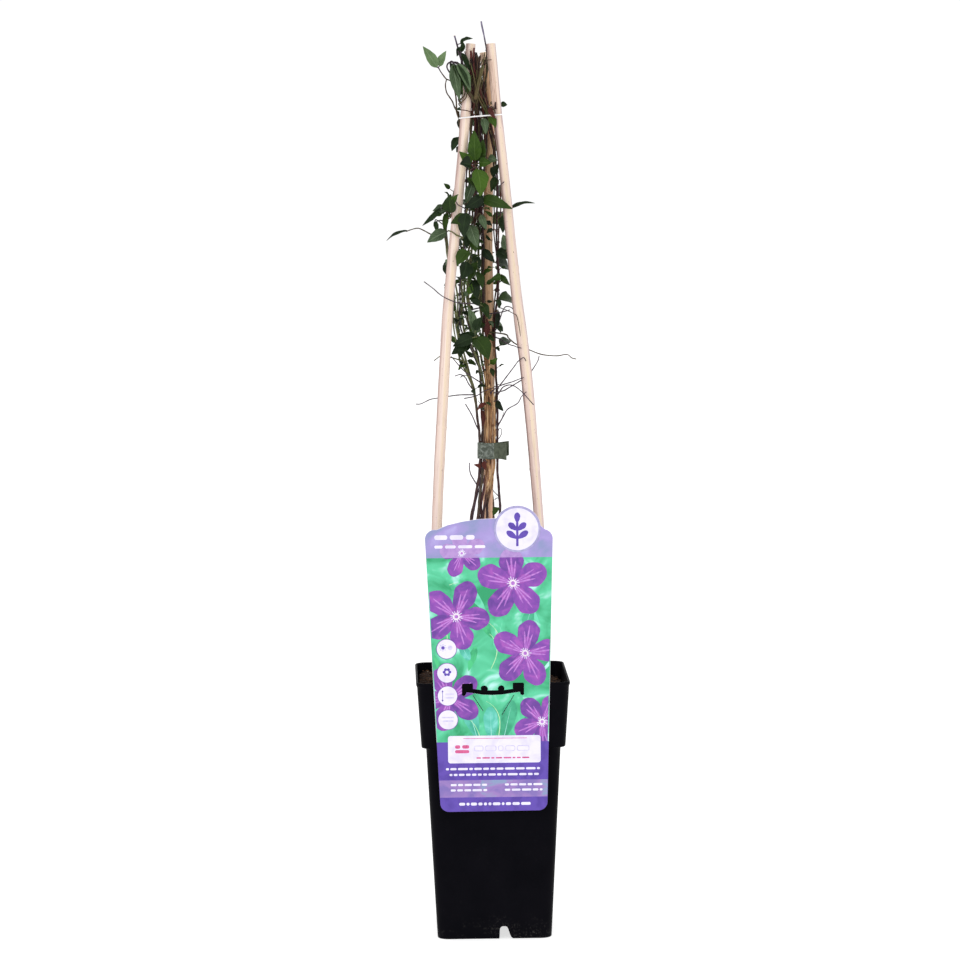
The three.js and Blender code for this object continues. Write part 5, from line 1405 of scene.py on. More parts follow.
def make_card():
    s = Shape()
    holes = [LABEL_SLOT, *LABEL_SLITS]
    bevel = 0.12

    def row(line, depth):
        """Vertices of a line of the label, that far in front of its back."""
        return s.verts(on_label(x, z, depth - LABEL_THICK) for x, z in line)

    points, faces = plate_faces(shrink(LABEL_EDGE, bevel), [shrink(h, -bevel) for h in holes])
    for depth, flip in ((0.0, False), (LABEL_THICK, True)):
        ids = row(points, depth)
        for f in faces:
            ring = [ids[k] for k in f]
            s.face(ring if flip else ring[::-1])
    for loop in [LABEL_EDGE, *holes]:
        solid_side = 1 if loop is LABEL_EDGE else -1
        tight = shrink(loop, bevel * solid_side)
        rows = [row(tight, 0.0), row(loop, bevel), row(loop, LABEL_THICK - bevel), row(tight, LABEL_THICK)]
        flip = (area(loop) > 0) == (solid_side > 0)
        for a, b in zip(rows, rows[1:]):
            s.bridge(*((a, b) if flip else (b, a)))
    # two tabs hook over the pot's rim
    hook = xz(-66.2,224.05, -63.2,224.05, -62.8,223.6, -62.75,216.8, -62.15,216.8, -62.15,224.2,
              -62.6,224.65, -66.2,224.65)
    for left, right in ((-26.7, -18.3), (16.3, 24.7)):
        a, b = (s.verts((x, y, z) for y, z in hook) for x in (left, right))
        s.face(a)
        s.face(b[::-1])
        s.bridge(a, b, flip=True)
    settle(s.make("label_card", [CARD], 35), "label_card", "label")


def flat(s, outline, layer, mat, holes=()):
    """A thin printed shape on one of the layers before the card."""
    points, faces = plate_faces(outline, holes)
    ids = [s.vert(on_label(x, z, LABEL_OUT * (layer + 1))) for x, z in points]
    for f in faces:
        ring = [ids[k] for k in f]
        # faces look toward -Y
        (x0, z0), (x1, z1), (x2, z2) = (points[k] for k in f[:3])
        if (x1 - x0) * (z2 - z0) - (x2 - x0) * (z1 - z0) < 0:
            ring = ring[::-1]
        s.face(ring, mat)


def box(x0, z0, x1, z1, r=0.0, steps=5):
    if r <= 0:
        return [(x0, z0), (x1, z0), (x1, z1), (x0, z1)]
    out = []
    for cx, cz, a in ((x1 - r, z0 + r, -90), (x1 - r, z1 - r, 0), (x0 + r, z1 - r, 90),
                      (x0 + r, z0 + r, 180)):
        out += arc(cx, cz, r, a, a + 90, steps)
    return out


def clip(loop, low, high, left=None, right=None):
    """The outline cut to low <= z <= high and to the label's printed width."""
    sides = [lambda p: p[1] - low, lambda p: high - p[1]]
    if left:
        sides += [lambda p: p[0] - left(p[1]), lambda p: right(p[1]) - p[0]]
    for within in sides:
        out = []
        for a, b in zip(loop, loop[1:] + loop[:1]):
            da, db = within(a), within(b)
            if da >= 0:
                out.append(a)
            if (da >= 0) != (db >= 0):
                out.append(tuple(mix(a[k], b[k], da / (da - db)) for k in (0, 1)))
        loop = out
    return loop


def left_edge(z):
    """The printed field's left side: the label's edge less a thin pale margin."""
    return mix(-46.0, -57.0, (z - 120.6) / (347 - 120.6)) + 0.9


def right_edge(z):
    return mix(45.2, 51.0, (z - 121) / (346.6 - 121)) - 0.9


def petal(cx, cz, angle, long, wide, wave, count=30):
    """A broad petal with a small point and a slightly wavy edge."""
    out = []
    for i in range(count):
        a = i / count * 2 * math.pi
        u = 0.5 - 0.5 * math.cos(a)
        w = math.sin(a) * wide * (0.25 + 0.75 * u ** 0.7) * (1 + 0.04 * math.sin(7 * a + wave * 9))
        reach = long * (u + 0.05 * max(0.0, u - 0.9) * 10)
        ca, sa = math.cos(angle), math.sin(angle)
        out.append((cx + reach * ca - w * sa, cz + reach * sa + w * ca))
    return out


# heights of the picture and of the bands under it, and the round badge's middle
PICTURE_TOP, PICTURE_LOW, STRIP_TOP, STRIP_LOW = 331, 173.2, 140.3, 125.4
BADGE_X, BADGE_Z = 21, 355
PRINT_SEED, PETALS, SOFT_LEAVES, EYE_RAYS = 4242, 5, 22, 14
# middle x and z, petal length, width, first angle
FLOWERS = groups(5, (17,309,31,13.6,0.35, -31,281,29,12.8,1.2, 27,249,28,12.4,0.15, -37,211,26,11.6,0.7,
                     41,190,25,11.2,1.0, -26,335,19,8.6,0.5))


def make_print():
    s = Shape()
    top, bottom = PICTURE_TOP, PICTURE_LOW
    holes = [LABEL_SLOT, *LABEL_SLITS]

    def paint(outline, layer, mat, miss_holes=False):
        """A shape in the picture, cut to its sides and round the holes, or left out where it meets one."""
        piece = clip(outline, bottom, top, left_edge, right_edge)
        if len(piece) > 2:
            met = [h for h in holes if meets(piece, h)]
            if not (met and miss_holes):
                flat(s, piece, layer, mat, met)

    whole = shrink(LABEL_EDGE, 0.2)
    for low, high, mat in ((top, 400, HEADER), (bottom, top, FIELD), (STRIP_TOP, bottom, VIOLET),
                           (STRIP_LOW, STRIP_TOP, STRIP), (100, STRIP_LOW, VIOLET)):
        use = [h for h in holes if low <= min(z for _, z in h) and max(z for _, z in h) <= high]
        flat(s, clip(whole, low, high), 0, mat, use)
    draw = random_from(PRINT_SEED)
    # soft leaves on the field
    for k in range(SOFT_LEAVES):
        x, z = -44 + 88 * draw(), 178 + 140 * draw()
        a, long, wide = 1.57 + (draw() - 0.5) * 1.9, 9 + 20 * draw(), 1.6 + 3.4 * draw()
        paint(petal(x, z, a, long, wide, draw()), 1, LEAF_A + k % 3, True)
    # broad veined leaves low in the picture: foot x and z, length, width, angle
    for n, (x, z, long, wide, a) in enumerate(groups(5, (
            -14,176,36,9,1.85, 8,174,34,8.5,1.35, -2,172,30,8,1.6, 20,178,26,6.5,0.9, -30,262,20,5,5.2,
            34,292,22,6,4.4))):
        paint(petal(x, z, a, long, wide, 0.4 + 0.1 * n), 1.3 + 0.15 * n, LEAF_LOW + n % 2)
        (x0, z0), (x1, z1) = ((x + math.cos(a) * long * t, z + math.sin(a) * long * t)
                              for t in (0.04, 0.94))
        rib = (-math.sin(a) * 0.3, math.cos(a) * 0.3)
        paint([(x0 + rib[0], z0 + rib[1]), (x1, z1), (x0 - rib[0], z0 - rib[1])], 2.2, LEAF_C)
    # curved stalks: foot x and z, length, angle
    for x, z, long, a in groups(4, (4,178,32,1.4, 12,176,30,1.75, -12,178,26,1.9, -2,236,30,1.1,
                                    -14,300,24,2.3, 40,232,24,2.0, 6,262,26,2.0, -44,252,18,0.9)):
        line = [(x + math.cos(a + 0.5 * t * t) * long * t, z + math.sin(a + 0.5 * t * t) * long * t)
                for t in [i / 12 for i in range(13)]]
        up = [(px - 0.35, pz + 0.1) for px, pz in line]
        down = [(px + 0.35, pz - 0.1) for px, pz in line][::-1]
        paint(up + down, 2, STALK, True)
    # flowers of broad petals round a pale eye
    for n, (cx, cz, long, wide, first) in enumerate(FLOWERS):
        for k in range(PETALS):
            a = first + k * 2 * math.pi / PETALS + 0.12 * (draw() - 0.5)
            outline = petal(cx, cz, a, long * (0.92 + 0.16 * draw()), wide, draw())
            streaks = [petal(cx, cz, a + turn, long * reach, wide * 0.07, draw(), 16)
                       for turn, reach in ((-0.2, 0.6), (0.0, 0.84), (0.19, 0.66))]
            heart = petal(cx, cz, a, long * 0.5, wide * 0.34, draw(), 20)
            paint(outline, 3 + k * 0.22, PETAL + (k + n) % 2)
            paint(heart, 4.2, HEART)
            for streak in streaks:
                paint(streak, 4.4, MAGENTA)
            # the header lies over the picture like a pale film
            veiled = clip(outline, top, 349, left_edge, right_edge)
            if len(veiled) > 2:
                flat(s, veiled, 1 + k * 0.2, LILAC)
        flat(s, disc(cx, cz, long * 0.10, 20), 5, EYE)
        for k in range(EYE_RAYS):
            a = k / EYE_RAYS * 2 * math.pi + draw() * 0.2
            r = long * (0.15 + 0.05 * draw())
            x, z = cx + math.cos(a) * r, cz + math.sin(a) * r
            dx, dz = -math.sin(a) * 0.28, math.cos(a) * 0.28
            ray = [(cx + dx, cz + dz), (x + dx, z + dz), (x - dx, z - dz), (cx - dx, cz - dz)]
            flat(s, ray, 5.6, WHITE)
        flat(s, disc(cx, cz, long * 0.055, 14), 6.2, MAGENTA)
    # round badge at the top with a sprig
    flat(s, disc(BADGE_X, BADGE_Z, 19.6, 60), 5, RING)
    flat(s, disc(BADGE_X, BADGE_Z, 17.9, 60), 6, WHITE)
    sprig(s, BADGE_X, BADGE_Z - 0.5, 14, 8)
    # header: small dashes that stand for lettering
    for z, half, parts in ((348.5, 2.0, ((-49, -38), (-36, -24.5), (-22.5, -15))),
                           (340.5, 1.3, ((-49, -42), (-40, -31), (-29, -17), (-15, -6)))):
        for a, b in parts:
            flat(s, box(a, z - half, b, z + half, half * 0.9), 4, WHITE)
    # four round icons down the left side
    for n, (x, z) in enumerate(xz(-39.5,253.4, -39.3,232.8, -39.0,213.1, -38.8,192.6)):
        flat(s, disc(x, z, 8.7, 44), 7, PETAL + 1)
        flat(s, disc(x, z, 8.2, 44), 8, WHITE)
        icon(s, n, x, z)
    # white panel with a pink rule
    flat(s, box(-39.0, 155.0, 39.6, 178.6, 2.2), 7, WHITE)
    for bar in ((-26, 176.0, 28, 176.5), (-33, 163.6, -21, 166.4, 1.2), (-33, 167.6, -28.6, 170.6, 1.3),
                (-27, 167.6, -21, 170.6, 1.3)):
        flat(s, box(*bar), 8, PINK)
    for a, b in xz(-17,-9, -7.5,2, 3.5,8, 9.5,18, 19.5,30):
        flat(s, box(a, 165.2, b, 170.0, 1.6), 8, GREY)
        flat(s, box(a + 0.6, 165.8, b - 0.6, 169.4, 1.2), 8.5, WHITE)
    # rows of short rounded bars in place of words: left, right, z, half height, layer, material
    for left, right, z, half, layer, mat in groups(6, (
            -15,30,159.4,0.65,8,PINK, -41,41,150.0,0.95,4,WHITE, -38,38,145.0,0.95,4,WHITE,
            -37,-6,136.2,0.95,4,WHITE, 9,41,136.2,0.95,4,WHITE, -37,-6,131.6,0.95,4,WHITE,
            9,41,131.6,0.95,4,WHITE, -30,31,119.6,1.25,4,WHITE)):
        while left < right - 1.5:
            end = min(right, left + 2.2 + 6.5 * draw())
            flat(s, box(left, z - half, end, z + half, half * 0.9, 3), layer, mat)
            left = end + 1.1
    obj = s.make("label_print", PRINTS)
    obj.data.polygons.foreach_set("use_smooth", [False] * len(obj.data.polygons))
    settle(obj, "label_card")


def meets(a, b):
    """Whether the boxes round two outlines overlap."""
    ax, az = [p[0] for p in a], [p[1] for p in a]
    bx, bz = [p[0] for p in b], [p[1] for p in b]
    return min(ax) < max(bx) and min(bx) < max(ax) and min(az) < max(bz) and min(bz) < max(az)


def sprig(s, cx, cz, r, layer):
    """A stalk with five leaves."""
    half = r * 0.07
    flat(s, box(cx - half, cz - r, cx + half, cz + r * 0.45), layer, VIOLET)
    for k, (h, a, long) in enumerate(groups(3, (-0.55,0.62,0.75, -0.55,2.52,0.75, -0.05,0.72,0.66,
                                                -0.05,2.42,0.66, 0.40,1.571,0.62))):
        flat(s, petal(cx, cz + r * h, a, r * long, r * 0.24, 0.3, 20), layer + 0.4 + 0.1 * k, VIOLET)


def icon(s, kind, x, z):
    """A sun and moon, a flower, a height bar with two lines, or two bars, in plain shapes."""

    def ring_of(count, cx, cz, reach, r, sides, lift=0.0):
        for k in range(count):
            a = k * 2 * math.pi / count
            spot = disc(cx + reach * math.cos(a), cz + reach * math.sin(a), r, sides)
            flat(s, spot, 9 + lift * k, VIOLET)

    if kind == 0:
        flat(s, disc(x - 3, z + 1, 1.5, 16), 9, VIOLET)
        ring_of(8, x - 3, z + 1, 2.5, 0.35, 8)
        flat(s, disc(x + 3, z + 1, 2.0, 16), 9, GREY)
    elif kind == 1:
        ring_of(6, x, z + 0.8, 2.4, 1.25, 14, 0.1)
        flat(s, disc(x, z + 0.8, 1.3, 14), 9.8, WHITE)
    elif kind == 2:
        flat(s, box(x - 4.4, z - 4.2, x - 4.0, z + 4.2), 9, VIOLET)
        flat(s, [(x - 5.1, z + 3.4), (x - 3.3, z + 3.4), (x - 4.2, z + 5.0)], 9, VIOLET)
        flat(s, [(x - 5.1, z - 3.4), (x - 4.2, z - 5.0), (x - 3.3, z - 3.4)], 9, VIOLET)
        for k in (-1, 1):
            flat(s, box(x - 1.8, z + k * 1.6 - 0.5, x + 5.4, z + k * 1.6 + 0.5, 0.4), 9, GREY)
    else:
        for k, (a, b) in enumerate(((-5.2, 5.2), (-4.4, 4.6))):
            flat(s, box(x + a, z + 1.4 - 3.0 * k, x + b, z + 2.5 - 3.0 * k, 0.5), 9, GREY)


def card_material():
    """White card whose lower end is dyed like the bands printed there."""
    m = Mat("card_white", 0.4)
    co = m.space()
    grain = m.noise(co, 0.2, 4, 0.6)
    z = m.place()[2]
    pale = m.ramp(grain, 0.3, "d6d0e4", 0.7, "e8e4f2")
    dyed = m.ramp(grain, 0.3, "523e96", 0.7, "624ca6")
    return m.done(m.blend(m.window(z, 0, 173, 0.6), pale, dyed), None, m.bump(grain, 0.05, 0.05))


def print_material(name, dark, light, scale=0.12, rough=0.26, third=None, stretch=(1, 1, 1)):
    m = Mat(name, rough)
    f = m.noise(m.space(stretch), scale, 3, 0.5, 0.6)
    colour = m.ramp(f, 0.36, dark, 0.57, light, *([0.68, third] if third else []))
    n = m.bump(m.noise(m.space(), 0.5, 2, 0.5), 0.05, 0.05)
    return m.done(colour, m.ramp(m.noise(m.space(), 0.06, 2, 0.5), 0.3, rough, 0.7, rough + 0.12), n)


CARD = card_material()
PRINTS = [print_material("print_" + name, *look) for name, *look in (
    ("field", "1a9662", "54c698", 0.045, 0.26, "b2e6e2"),
    ("header", "868cb8", "9e8eca", 0.045, 0.26, "aaa0d6"),
    ("white", "d6d0ea", "e2def4", 0.1, 0.24), ("violet", "4a3096", "583ea6", 0.1, 0.24),
    ("strip", "7866ac", "9676b6", 0.06, 0.26, "8292b8", (1, 1, 1.6)),
    ("petal", "70389c", "8842a8", 0.12, 0.26, "9e4eb0"),
    ("petal_deep", "5e308e", "7a3ca0", 0.12, 0.26, "9248aa"),
    ("magenta", "9e5cb8", "b878cc", 0.25), ("lilac", "a07ebe", "ae8cc8", 0.25),
    ("leaf_a", "3cb88a", "68d0ac"), ("leaf_b", "229664", "42be7c"), ("leaf_c", "84d6c8", "ace4dc"),
    ("stalk", "96d69c", "bee2b6", 0.3),
    ("eye", "d2bab0", "ecded4", 0.6), ("ring", "9692bc", "a8a2ca", 0.3), ("pink", "be4276", "d05c8e", 0.3),
    ("grey", "bcb4d6", "cec8e4", 0.3), ("petal_heart", "803ca0", "9a4aaa", 0.2),
    ("leaf_low", "2c9e82", "54bca8", 0.08, 0.26, "78cec4"), ("leaf_deep", "1e8e68", "3eac84", 0.08))]
# places of the materials in that list
(FIELD, HEADER, WHITE, VIOLET, STRIP, PETAL, _, MAGENTA, LILAC, LEAF_A, _, LEAF_C, STALK, EYE, RING, PINK,
 GREY, HEART, LEAF_LOW, _) = range(20)


# ------------------------------------------------------------------ vines
# brown, dark, red and green bark, thread, the leaves' upper sides and undersides, cut wood
VINE_MATS = [*STEM_MATS, THREAD, *TOPS, *UNDERS, CUT]
THREAD_AT, TOP_AT, UNDER_AT, CUT_AT = 4, 5, 11, 17
STEM_KIND = [0, 3, 2, 1, 1, 0, 0, 3]  # the bark of each stem
FREE_STEM = 4  # the one that ends in the free twig over the canes
CROWN_Z = 735  # leaves over this height are withered and folded
DRY = 3  # the tone of dry leaves; the one over the band is a narrow torn sheath
TWIG_TIP = 783


def leaf_outline(t):
    """Half width along the blade: rounded low down, drawn to a point."""
    if t >= 1:
        return 0.0
    round_part = 1.06 * math.sin(math.pi * t ** 0.75) ** 0.85 * (1 - 0.18 * t) if t > 0 else 0.0
    return max(0.09 * (1 - t), round_part)


def blade_mesh(s, leaf, tone, draw):
    """A thin leaf with a fold along its middle, waved edges and a drooping tip."""
    rows, cols = 16, 8
    phase, amount = draw() * 6.28, 0.25 + 0.35 * draw()
    droop = (draw() - 0.35) * 0.10 * leaf.long
    shade = draw()
    fold = (0.22 + 0.34 * draw()) * (1.9 if leaf.base[2] > CROWN_Z else 1)
    thick = 0.34 + 0.02 * leaf.width
    half = leaf.width / 2 * (0.6 if tone == DRY and leaf.base[2] > BAND_Z else 1)

    def point(t, u, lift):
        w = half * leaf_outline(t) * (1 + 0.03 * math.sin(t * 23 + phase))
        ripple = amount * abs(u) ** 2 * math.sin(t * 11 + phase + (2 if u > 0 else 0)) * min(1.0, w / 2)
        arch = 0.12 * leaf.long * math.sin(math.pi * t) + fold * abs(u) ** 1.2 * w - droop * t ** 2.5
        puff = 0.12 * math.sin(math.pi * abs(u)) * math.sin(t * 22) * min(1.0, w / 3)
        p = add(add(leaf.base, leaf.along, leaf.long * t), leaf.normal, arch + ripple + puff + lift)
        return add(p, leaf.across, u * w)

    def row(i, side):
        across = [j / cols * 2 - 1 for j in range(cols + 1)]
        lifts = [side * thick / 2 * (0.35 + 0.65 * (1 - abs(u) ** 4)) for u in across]
        return s.verts((point(i / rows, u, lift) for u, lift in zip(across, lifts)), shade)

    grids = [[row(i, side) for i in range(rows)] for side in (1, -1)]
    tips = [s.vert(point(1.0, 0, side * thick * 0.15), shade) for side in (1, -1)]
    for grid, tip, way, mat in zip(grids, tips, (1, -1), (TOP_AT + tone, UNDER_AT + tone)):
        for i in range(rows - 1):
            for j in range(cols):
                spots = [(i, j), (i, j + 1), (i + 1, j + 1), (i + 1, j)][::way]
                s.face([grid[a][b] for a, b in spots], mat, [(b / cols, a / rows) for a, b in spots])
        for j in range(cols):
            end = (rows - 1) / rows
            s.face([grid[-1][j], grid[-1][j + 1], tip][::way], mat,
                   [(j / cols, end), ((j + 1) / cols, end), (0.5, 1.0)][::way])
    # the thin edge all round
    top, low = (grid[0] + [r[cols] for r in grid[1:]] + [tip] + [r[0] for r in grid[:0:-1]]
                for grid, tip in zip(grids, tips))
    for i in range(len(top)):
        j = (i + 1) % len(top)
        s.face((top[i], low[i], low[j], top[j]), UNDER_AT + tone, [(0.1, 0.5)] * 4)


def stem_line(index):
    """Fine points of a stem with its small kinks."""
    return [(x + 0.22 * math.sin(z * 0.31 + index * 2), y + 0.22 * math.cos(z * 0.27 + index), z)
            for x, y, z in smooth([tuple(p) for p in ROUTES[index]], 4)]


def make_vines():
    for index, stem in enumerate(STEMS):
        s = Shape()
        draw = random_from(VINE_SEED + index)
        kind = STEM_KIND[index]
        line = [p for p in stem_line(index) if p[2] < TWIG_TIP]
        nodes = sorted(230 + 70 * k + 30 * draw() + 7 * index for k in range(8))
        last = len(line) - 1

        def girth(t):
            z = line[min(last, round(t * last))][2]
            swell = sum(0.35 * math.exp(-((z - n) / 2.6) ** 2) for n in nodes)
            return stem_radius(stem, z) * (1 + 0.07 * math.sin(z * 0.8 + index)) + swell * 0.8 - 0.06

        s.tube(line, girth, 9, kind, kind if index == FREE_STEM else CUT_AT)
        for name, (owner, first, end, _) in TWIGS.items():
            if owner == index:
                mat = kind if first > 0.65 else THREAD_AT
                s.tube(smooth(LINES[name], 1.4),
                       lambda t: mix(first, end, t) * (1 + 0.08 * math.sin(t * 40)), 7, mat,
                       CUT_AT if name.startswith("cut") else mat)
        for owner, stalk_line, leaf, tone in LEAVES:
            if owner == index:
                mat = THREAD_AT if tone == DRY else (3, 2, 4, 3)[int(draw() * 4)]
                s.tube(smooth(stalk_line, 1.3), lambda t: 0.52 - 0.12 * t, 6, mat)
                blade_mesh(s, leaf, tone, draw)
        for owner, base, tip, width, tone in YOUNG:
            if owner == index:
                leaf = Blade(base, tip, width, (0.1, -1, 0.3), 0.2)
                low = base[2] - 8
                line_to = stalk(point_at(ROUTES[index], low), base, leaf.along, (0, -0.5, 0.8))
                s.tube(smooth(line_to, 1.3), lambda t: 0.45 - 0.1 * t, 6, 3)
                blade_mesh(s, leaf, tone, draw)
        stubs(s, index, draw)
        side_shoots(s, index, random_from(SHOOT_SEED + index))
        small_leaves(s, index, random_from(SMALL_SEED + index))
        crown_shoots(s, index, random_from(CROWN_SEED + index))
        for owner, first, end, mat, points in CURLS:
            if owner == index:
                s.tube(smooth(points, 0.9), lambda t: mix(first, end, t), 7, mat)
        obj = s.make(f"vine_{index + 1}_growth", VINE_MATS, 70)
        settle(obj, "stem" if index == 2 else "foliage", f"vine_{index + 1}")


# leaves too narrow for the solids, and one tucked under the band: stem, base, tip, width, tone
YOUNG = [
    (1, (-29, -11.5, 745), (-20, -14.5, 719), 3.8, 1), (1, (-27.5, -13.4, 746), (-17.5, -17, 721), 4.2, 0),
    (1, (-24.2, -15.5, 745), (-14.8, -18.5, 725), 3.2, 0), (2, (-17, -8, 741), (-16.5, -12, 720), 4.4, 1),
    (4, (2.4, -8.4, 701), (7.4, -11.6, 691.5), 7, 2),
]

# small curls too fine for the solids: stem, first and last radius, material, points
CURLS = [
    # a withered stalk hooked over at the crown's left
    (1, 0.8, 0.6, 1, xyz(-22,-9,742.5, -25,-10.5,746, -29,-11,747.5, -32.4,-11,746.6, -33.6,-11.4,743.6,
        -32.4,-11.4,740.4, -30.6,-11,738.2, -28.8,-11,740.4, -29.6,-11,743)),
    # red cut shoots before the left cane's tip
    (1, 1.0, 0.9, 2, xyz(-13.4,-8.6,736, -12.9,-9.2,747, -13.1,-9.4,757)),
    (1, 0.9, 0.8, 2, xyz(-11.2,-8.8,736, -11,-9.2,748, -10.4,-9.6,759.4)),
    (2, 0.9, 0.75, 1, xyz(-8.8,-7,736, -8.9,-7.2,748, -8.3,-7.4,755.5)),
    (2, 0.8, 0.7, 0, xyz(-6.4,-7.2,734, -6,-7.4,745, -4.9,-7.6,753)),
    # a torn brown sheath on the right cane over the band
    (4, 0.5, 1.1, 1, xyz(7.4,-9.9,713.5, 7.2,-10.2,710.5, 7.3,-10.2,707.5)),
    (4, 0.9, 0.4, 0, xyz(4.6,-9.4,709.5, 5.2,-9.8,707.6, 6.6,-10.2,706.4, 7.2,-10.2,703.6)),
    # a light shoot leaning through the crown
    (2, 0.9, 0.75, 3, xyz(-10.4,-9.5,716, -9,-11.5,724, -6.6,-12,733, -4.4,-12,743)),
    (2, 1.1, 0.8, 3, xyz(-9.4,-9.5,716, -7.4,-11.5,725, -5,-12,734, -2.6,-12,744.5)),
    (2, 0.6, 0.5, 3, xyz(-8,-9.5,717, -9.4,-12,727, -11.4,-12.4,737, -13.6,-12.4,746.5)),
    # a dry tendril across the right cane's tip
    (5, 0.4, 0.25, 0, xyz(-4,-5,744, -1.5,-7.5,746.6, 1,-7.9,748.8, 4,-7.6,749.2, 6.8,-6.8,748.6)),
    # one that clings to the right cane
    (4, 0.45, 0.25, 0, xyz(9,19,538, 16,-2,536, 21,-18,534, 23.6,-22.6,532, 25.4,-23.2,523.6,
        27.1,-23.2,512.5)),
    # a thread across the stems, the dark knot behind it and a dry curl on the cane
    (2, 0.5, 0.35, 4, xyz(-21,15,459.5, -10.6,15,461.7, -4,16,465.5, 3,17,468, 9.5,18.5,471.5)),
    (3, 1.3, 0.9, 1, xyz(0.6,18.6,470.5, 2.6,18,468.5, 5.2,18.6,466.2)),
    (5, 1.1, 0.6, 1, xyz(3.6,22.4,436.5, 5.2,21,433, 6.6,20.6,429.6, 5.8,21,426, 4.2,21.4,427.6)),
    # tendrils just over the tie
    (4, 0.4, 0.25, 4, xyz(7.6,28,424, 9,24,424, 10.9,22,427.5, 11.4,22,431.4, 9.6,22,433.2,
        8.4,23,430.4)),
    (4, 0.35, 0.22, 4, xyz(7.6,28,436, 9.6,24,438, 12,22,442.5, 13,22,447)),
    # a forked twiglet by the dark stem under the tie
    (4, 0.45, 0.3, 4, xyz(8.3,16,374.4, 6.4,15,376.2, 4.4,14,378.4, 2.3,14,381)),
    (4, 0.35, 0.45, 4, xyz(8.3,16,372.6, 6.4,15,373, 4.6,14.4,371.6)),
]


def clear_of_canes(line, r):
    """The line pushed out of the canes, the tie and the band."""
    for _ in range(8):
        for i, p in enumerate(line):
            for d, need, q in clashes(p, r, -1, 0.2):
                if q[4] >= CANE_OWNER:
                    line[i] = add(line[i], (p[0] - q[0], p[1] - q[1], 0), 0.6 * (need - d) / (d or 1))
    return line


def side_shoots(s, index, draw):
    """Thin shoots that wind up beside the stem and join it again."""
    stem = STEMS[index]
    for k in range(3):
        low = (236, 446, 560)[k] + 60 * draw()
        high = min(stem.top - 4, low + (110, 190, 150)[k] + 60 * draw())
        phase = 6.28 * draw()
        rate = (0.012 + 0.02 * draw()) * (1 if draw() < 0.5 else -1)
        reach = 1.7 + 1.7 * draw()
        girth, mat = 0.5 + 0.3 * draw(), (0, 1, 1, 2, 3, 4)[int(draw() * 6)]
        if high - low < 40 or (k == 0 and index not in (0, 2, 5)):
            continue
        count = int((high - low) / 6)
        line = []
        for i in range(count + 1):
            z = mix(low, high, i / count)
            x, y = at(ROUTES[index], z)
            a, off = phase + rate * (z - low), reach * max(0.0, math.sin(math.pi * i / count)) ** 0.5
            if abs(z - TIE_MIDDLE) < 26:
                off *= max(0.0, abs(z - TIE_MIDDLE) - 12) / 14
            x += off * math.cos(a) + 0.3 * math.sin(z * 0.21 + phase)
            line.append((x, y + off * math.sin(a), z))
        line = smooth(clear_of_canes(line, girth), 2.5)
        s.tube(line, lambda t: girth * (1.05 - 0.35 * t + 0.12 * math.sin(t * 60)), 6, mat)


FRONT_TRIES, BACK_TRIES = 34, 22


def small_leaves(s, index, draw):
    """Little young leaves on short stalks among the larger ones."""
    for k in range(FRONT_TRIES + BACK_TRIES):
        z, back = 446 + 200 * draw(), k >= FRONT_TRIES
        if back:
            z += 80 * draw()
        if z > STEMS[index].top - 6 or index in ((0, 1, 3) if back else (4, 7)):
            continue
        start_at = point_at(ROUTES[index], z)
        a = (1.57 if back else 4.71) + (draw() - 0.5) * 3.6
        out = unit((math.cos(a), math.sin(a), 0.4 + 0.7 * draw()))
        base = add(start_at, out, stem_radius(STEMS[index], z) + 1.5 + 2.5 * draw())
        aim = unit((out[0] + 1.2 * (draw() - 0.5), out[1], 1.5 * draw() - 0.6))
        long = 4.5 + 5 * draw()
        leaf = Blade(base, add(base, aim, long), long * (0.4 + 0.22 * draw()),
                     unit((0.6 * (draw() - 0.5), -1, 0.5)), (draw() - 0.5) * 1.6)
        line = stalk(start_at, base, leaf.along, out)
        tone = (1, 2, 0, 4, 1)[int(draw() * 5)]
        spots = (line[2], line[4], leaf.point(0.5, 0), leaf.point(0.95, 0))
        if any(clashes(q, 0.7, index, 0.25) for q in spots):
            continue
        claim(line, leaf, index)
        s.tube(smooth(line, 1.3), lambda t: 0.34 - 0.08 * t, 5, 3)
        blade_mesh(s, leaf, tone, draw)


def crown_shoots(s, index, draw):
    """Cut shoots that crowd the gap between the cane tips."""
    if STEMS[index].top < 700:
        return
    for _ in range(5):
        low, high = 640 + 45 * draw(), 732 + 25 * draw()
        bx, by = at(ROUTES[index], BAND_Z)
        in_band = (mix(bx, -7, 0.35 * draw()), mix(by, 3, 0.5 * draw()), BAND_Z)
        tip_x = -22.5 + 21.5 * draw()
        tip_y = -10.5 + 2 * draw() if tip_x < -8 else -9 + 10 * draw()
        bow = (draw() - 0.5) * 5
        knee = (mix(in_band[0], tip_x, 0.45) + bow, mix(in_band[1], tip_y, 0.8), mix(BAND_Z, high, 0.45))
        girth, mat = 0.65 + 0.4 * draw(), (1, 3, 0, 2, 0, 0, 3, 1)[int(draw() * 8)]
        line = smooth([point_at(ROUTES[index], low), in_band, knee, (tip_x, tip_y, high)], 3.5)
        line = smooth(clear_of_canes(line, girth), 1.8)
        s.tube(line, lambda t: girth * (1 - 0.35 * t) + 0.06 * math.sin(t * 50), 7, mat,
               CUT_AT if draw() < 0.3 else mat)
        # a short spur near the tip
        root = line[int(len(line) * (0.78 + 0.12 * draw()))]
        way = unit(((draw() - 0.5) * 2, -0.6 * draw(), 0.9))
        spur = [root, add(root, way, 2.5), add(add(root, way, 4 + 2.5 * draw()), (0, 0, 1), 1.5)]
        if draw() < 0.6 and spur[-1][2] < CANE_TOP - 3:
            s.tube(spur, lambda t: 0.5 - 0.22 * t, 6, mat)


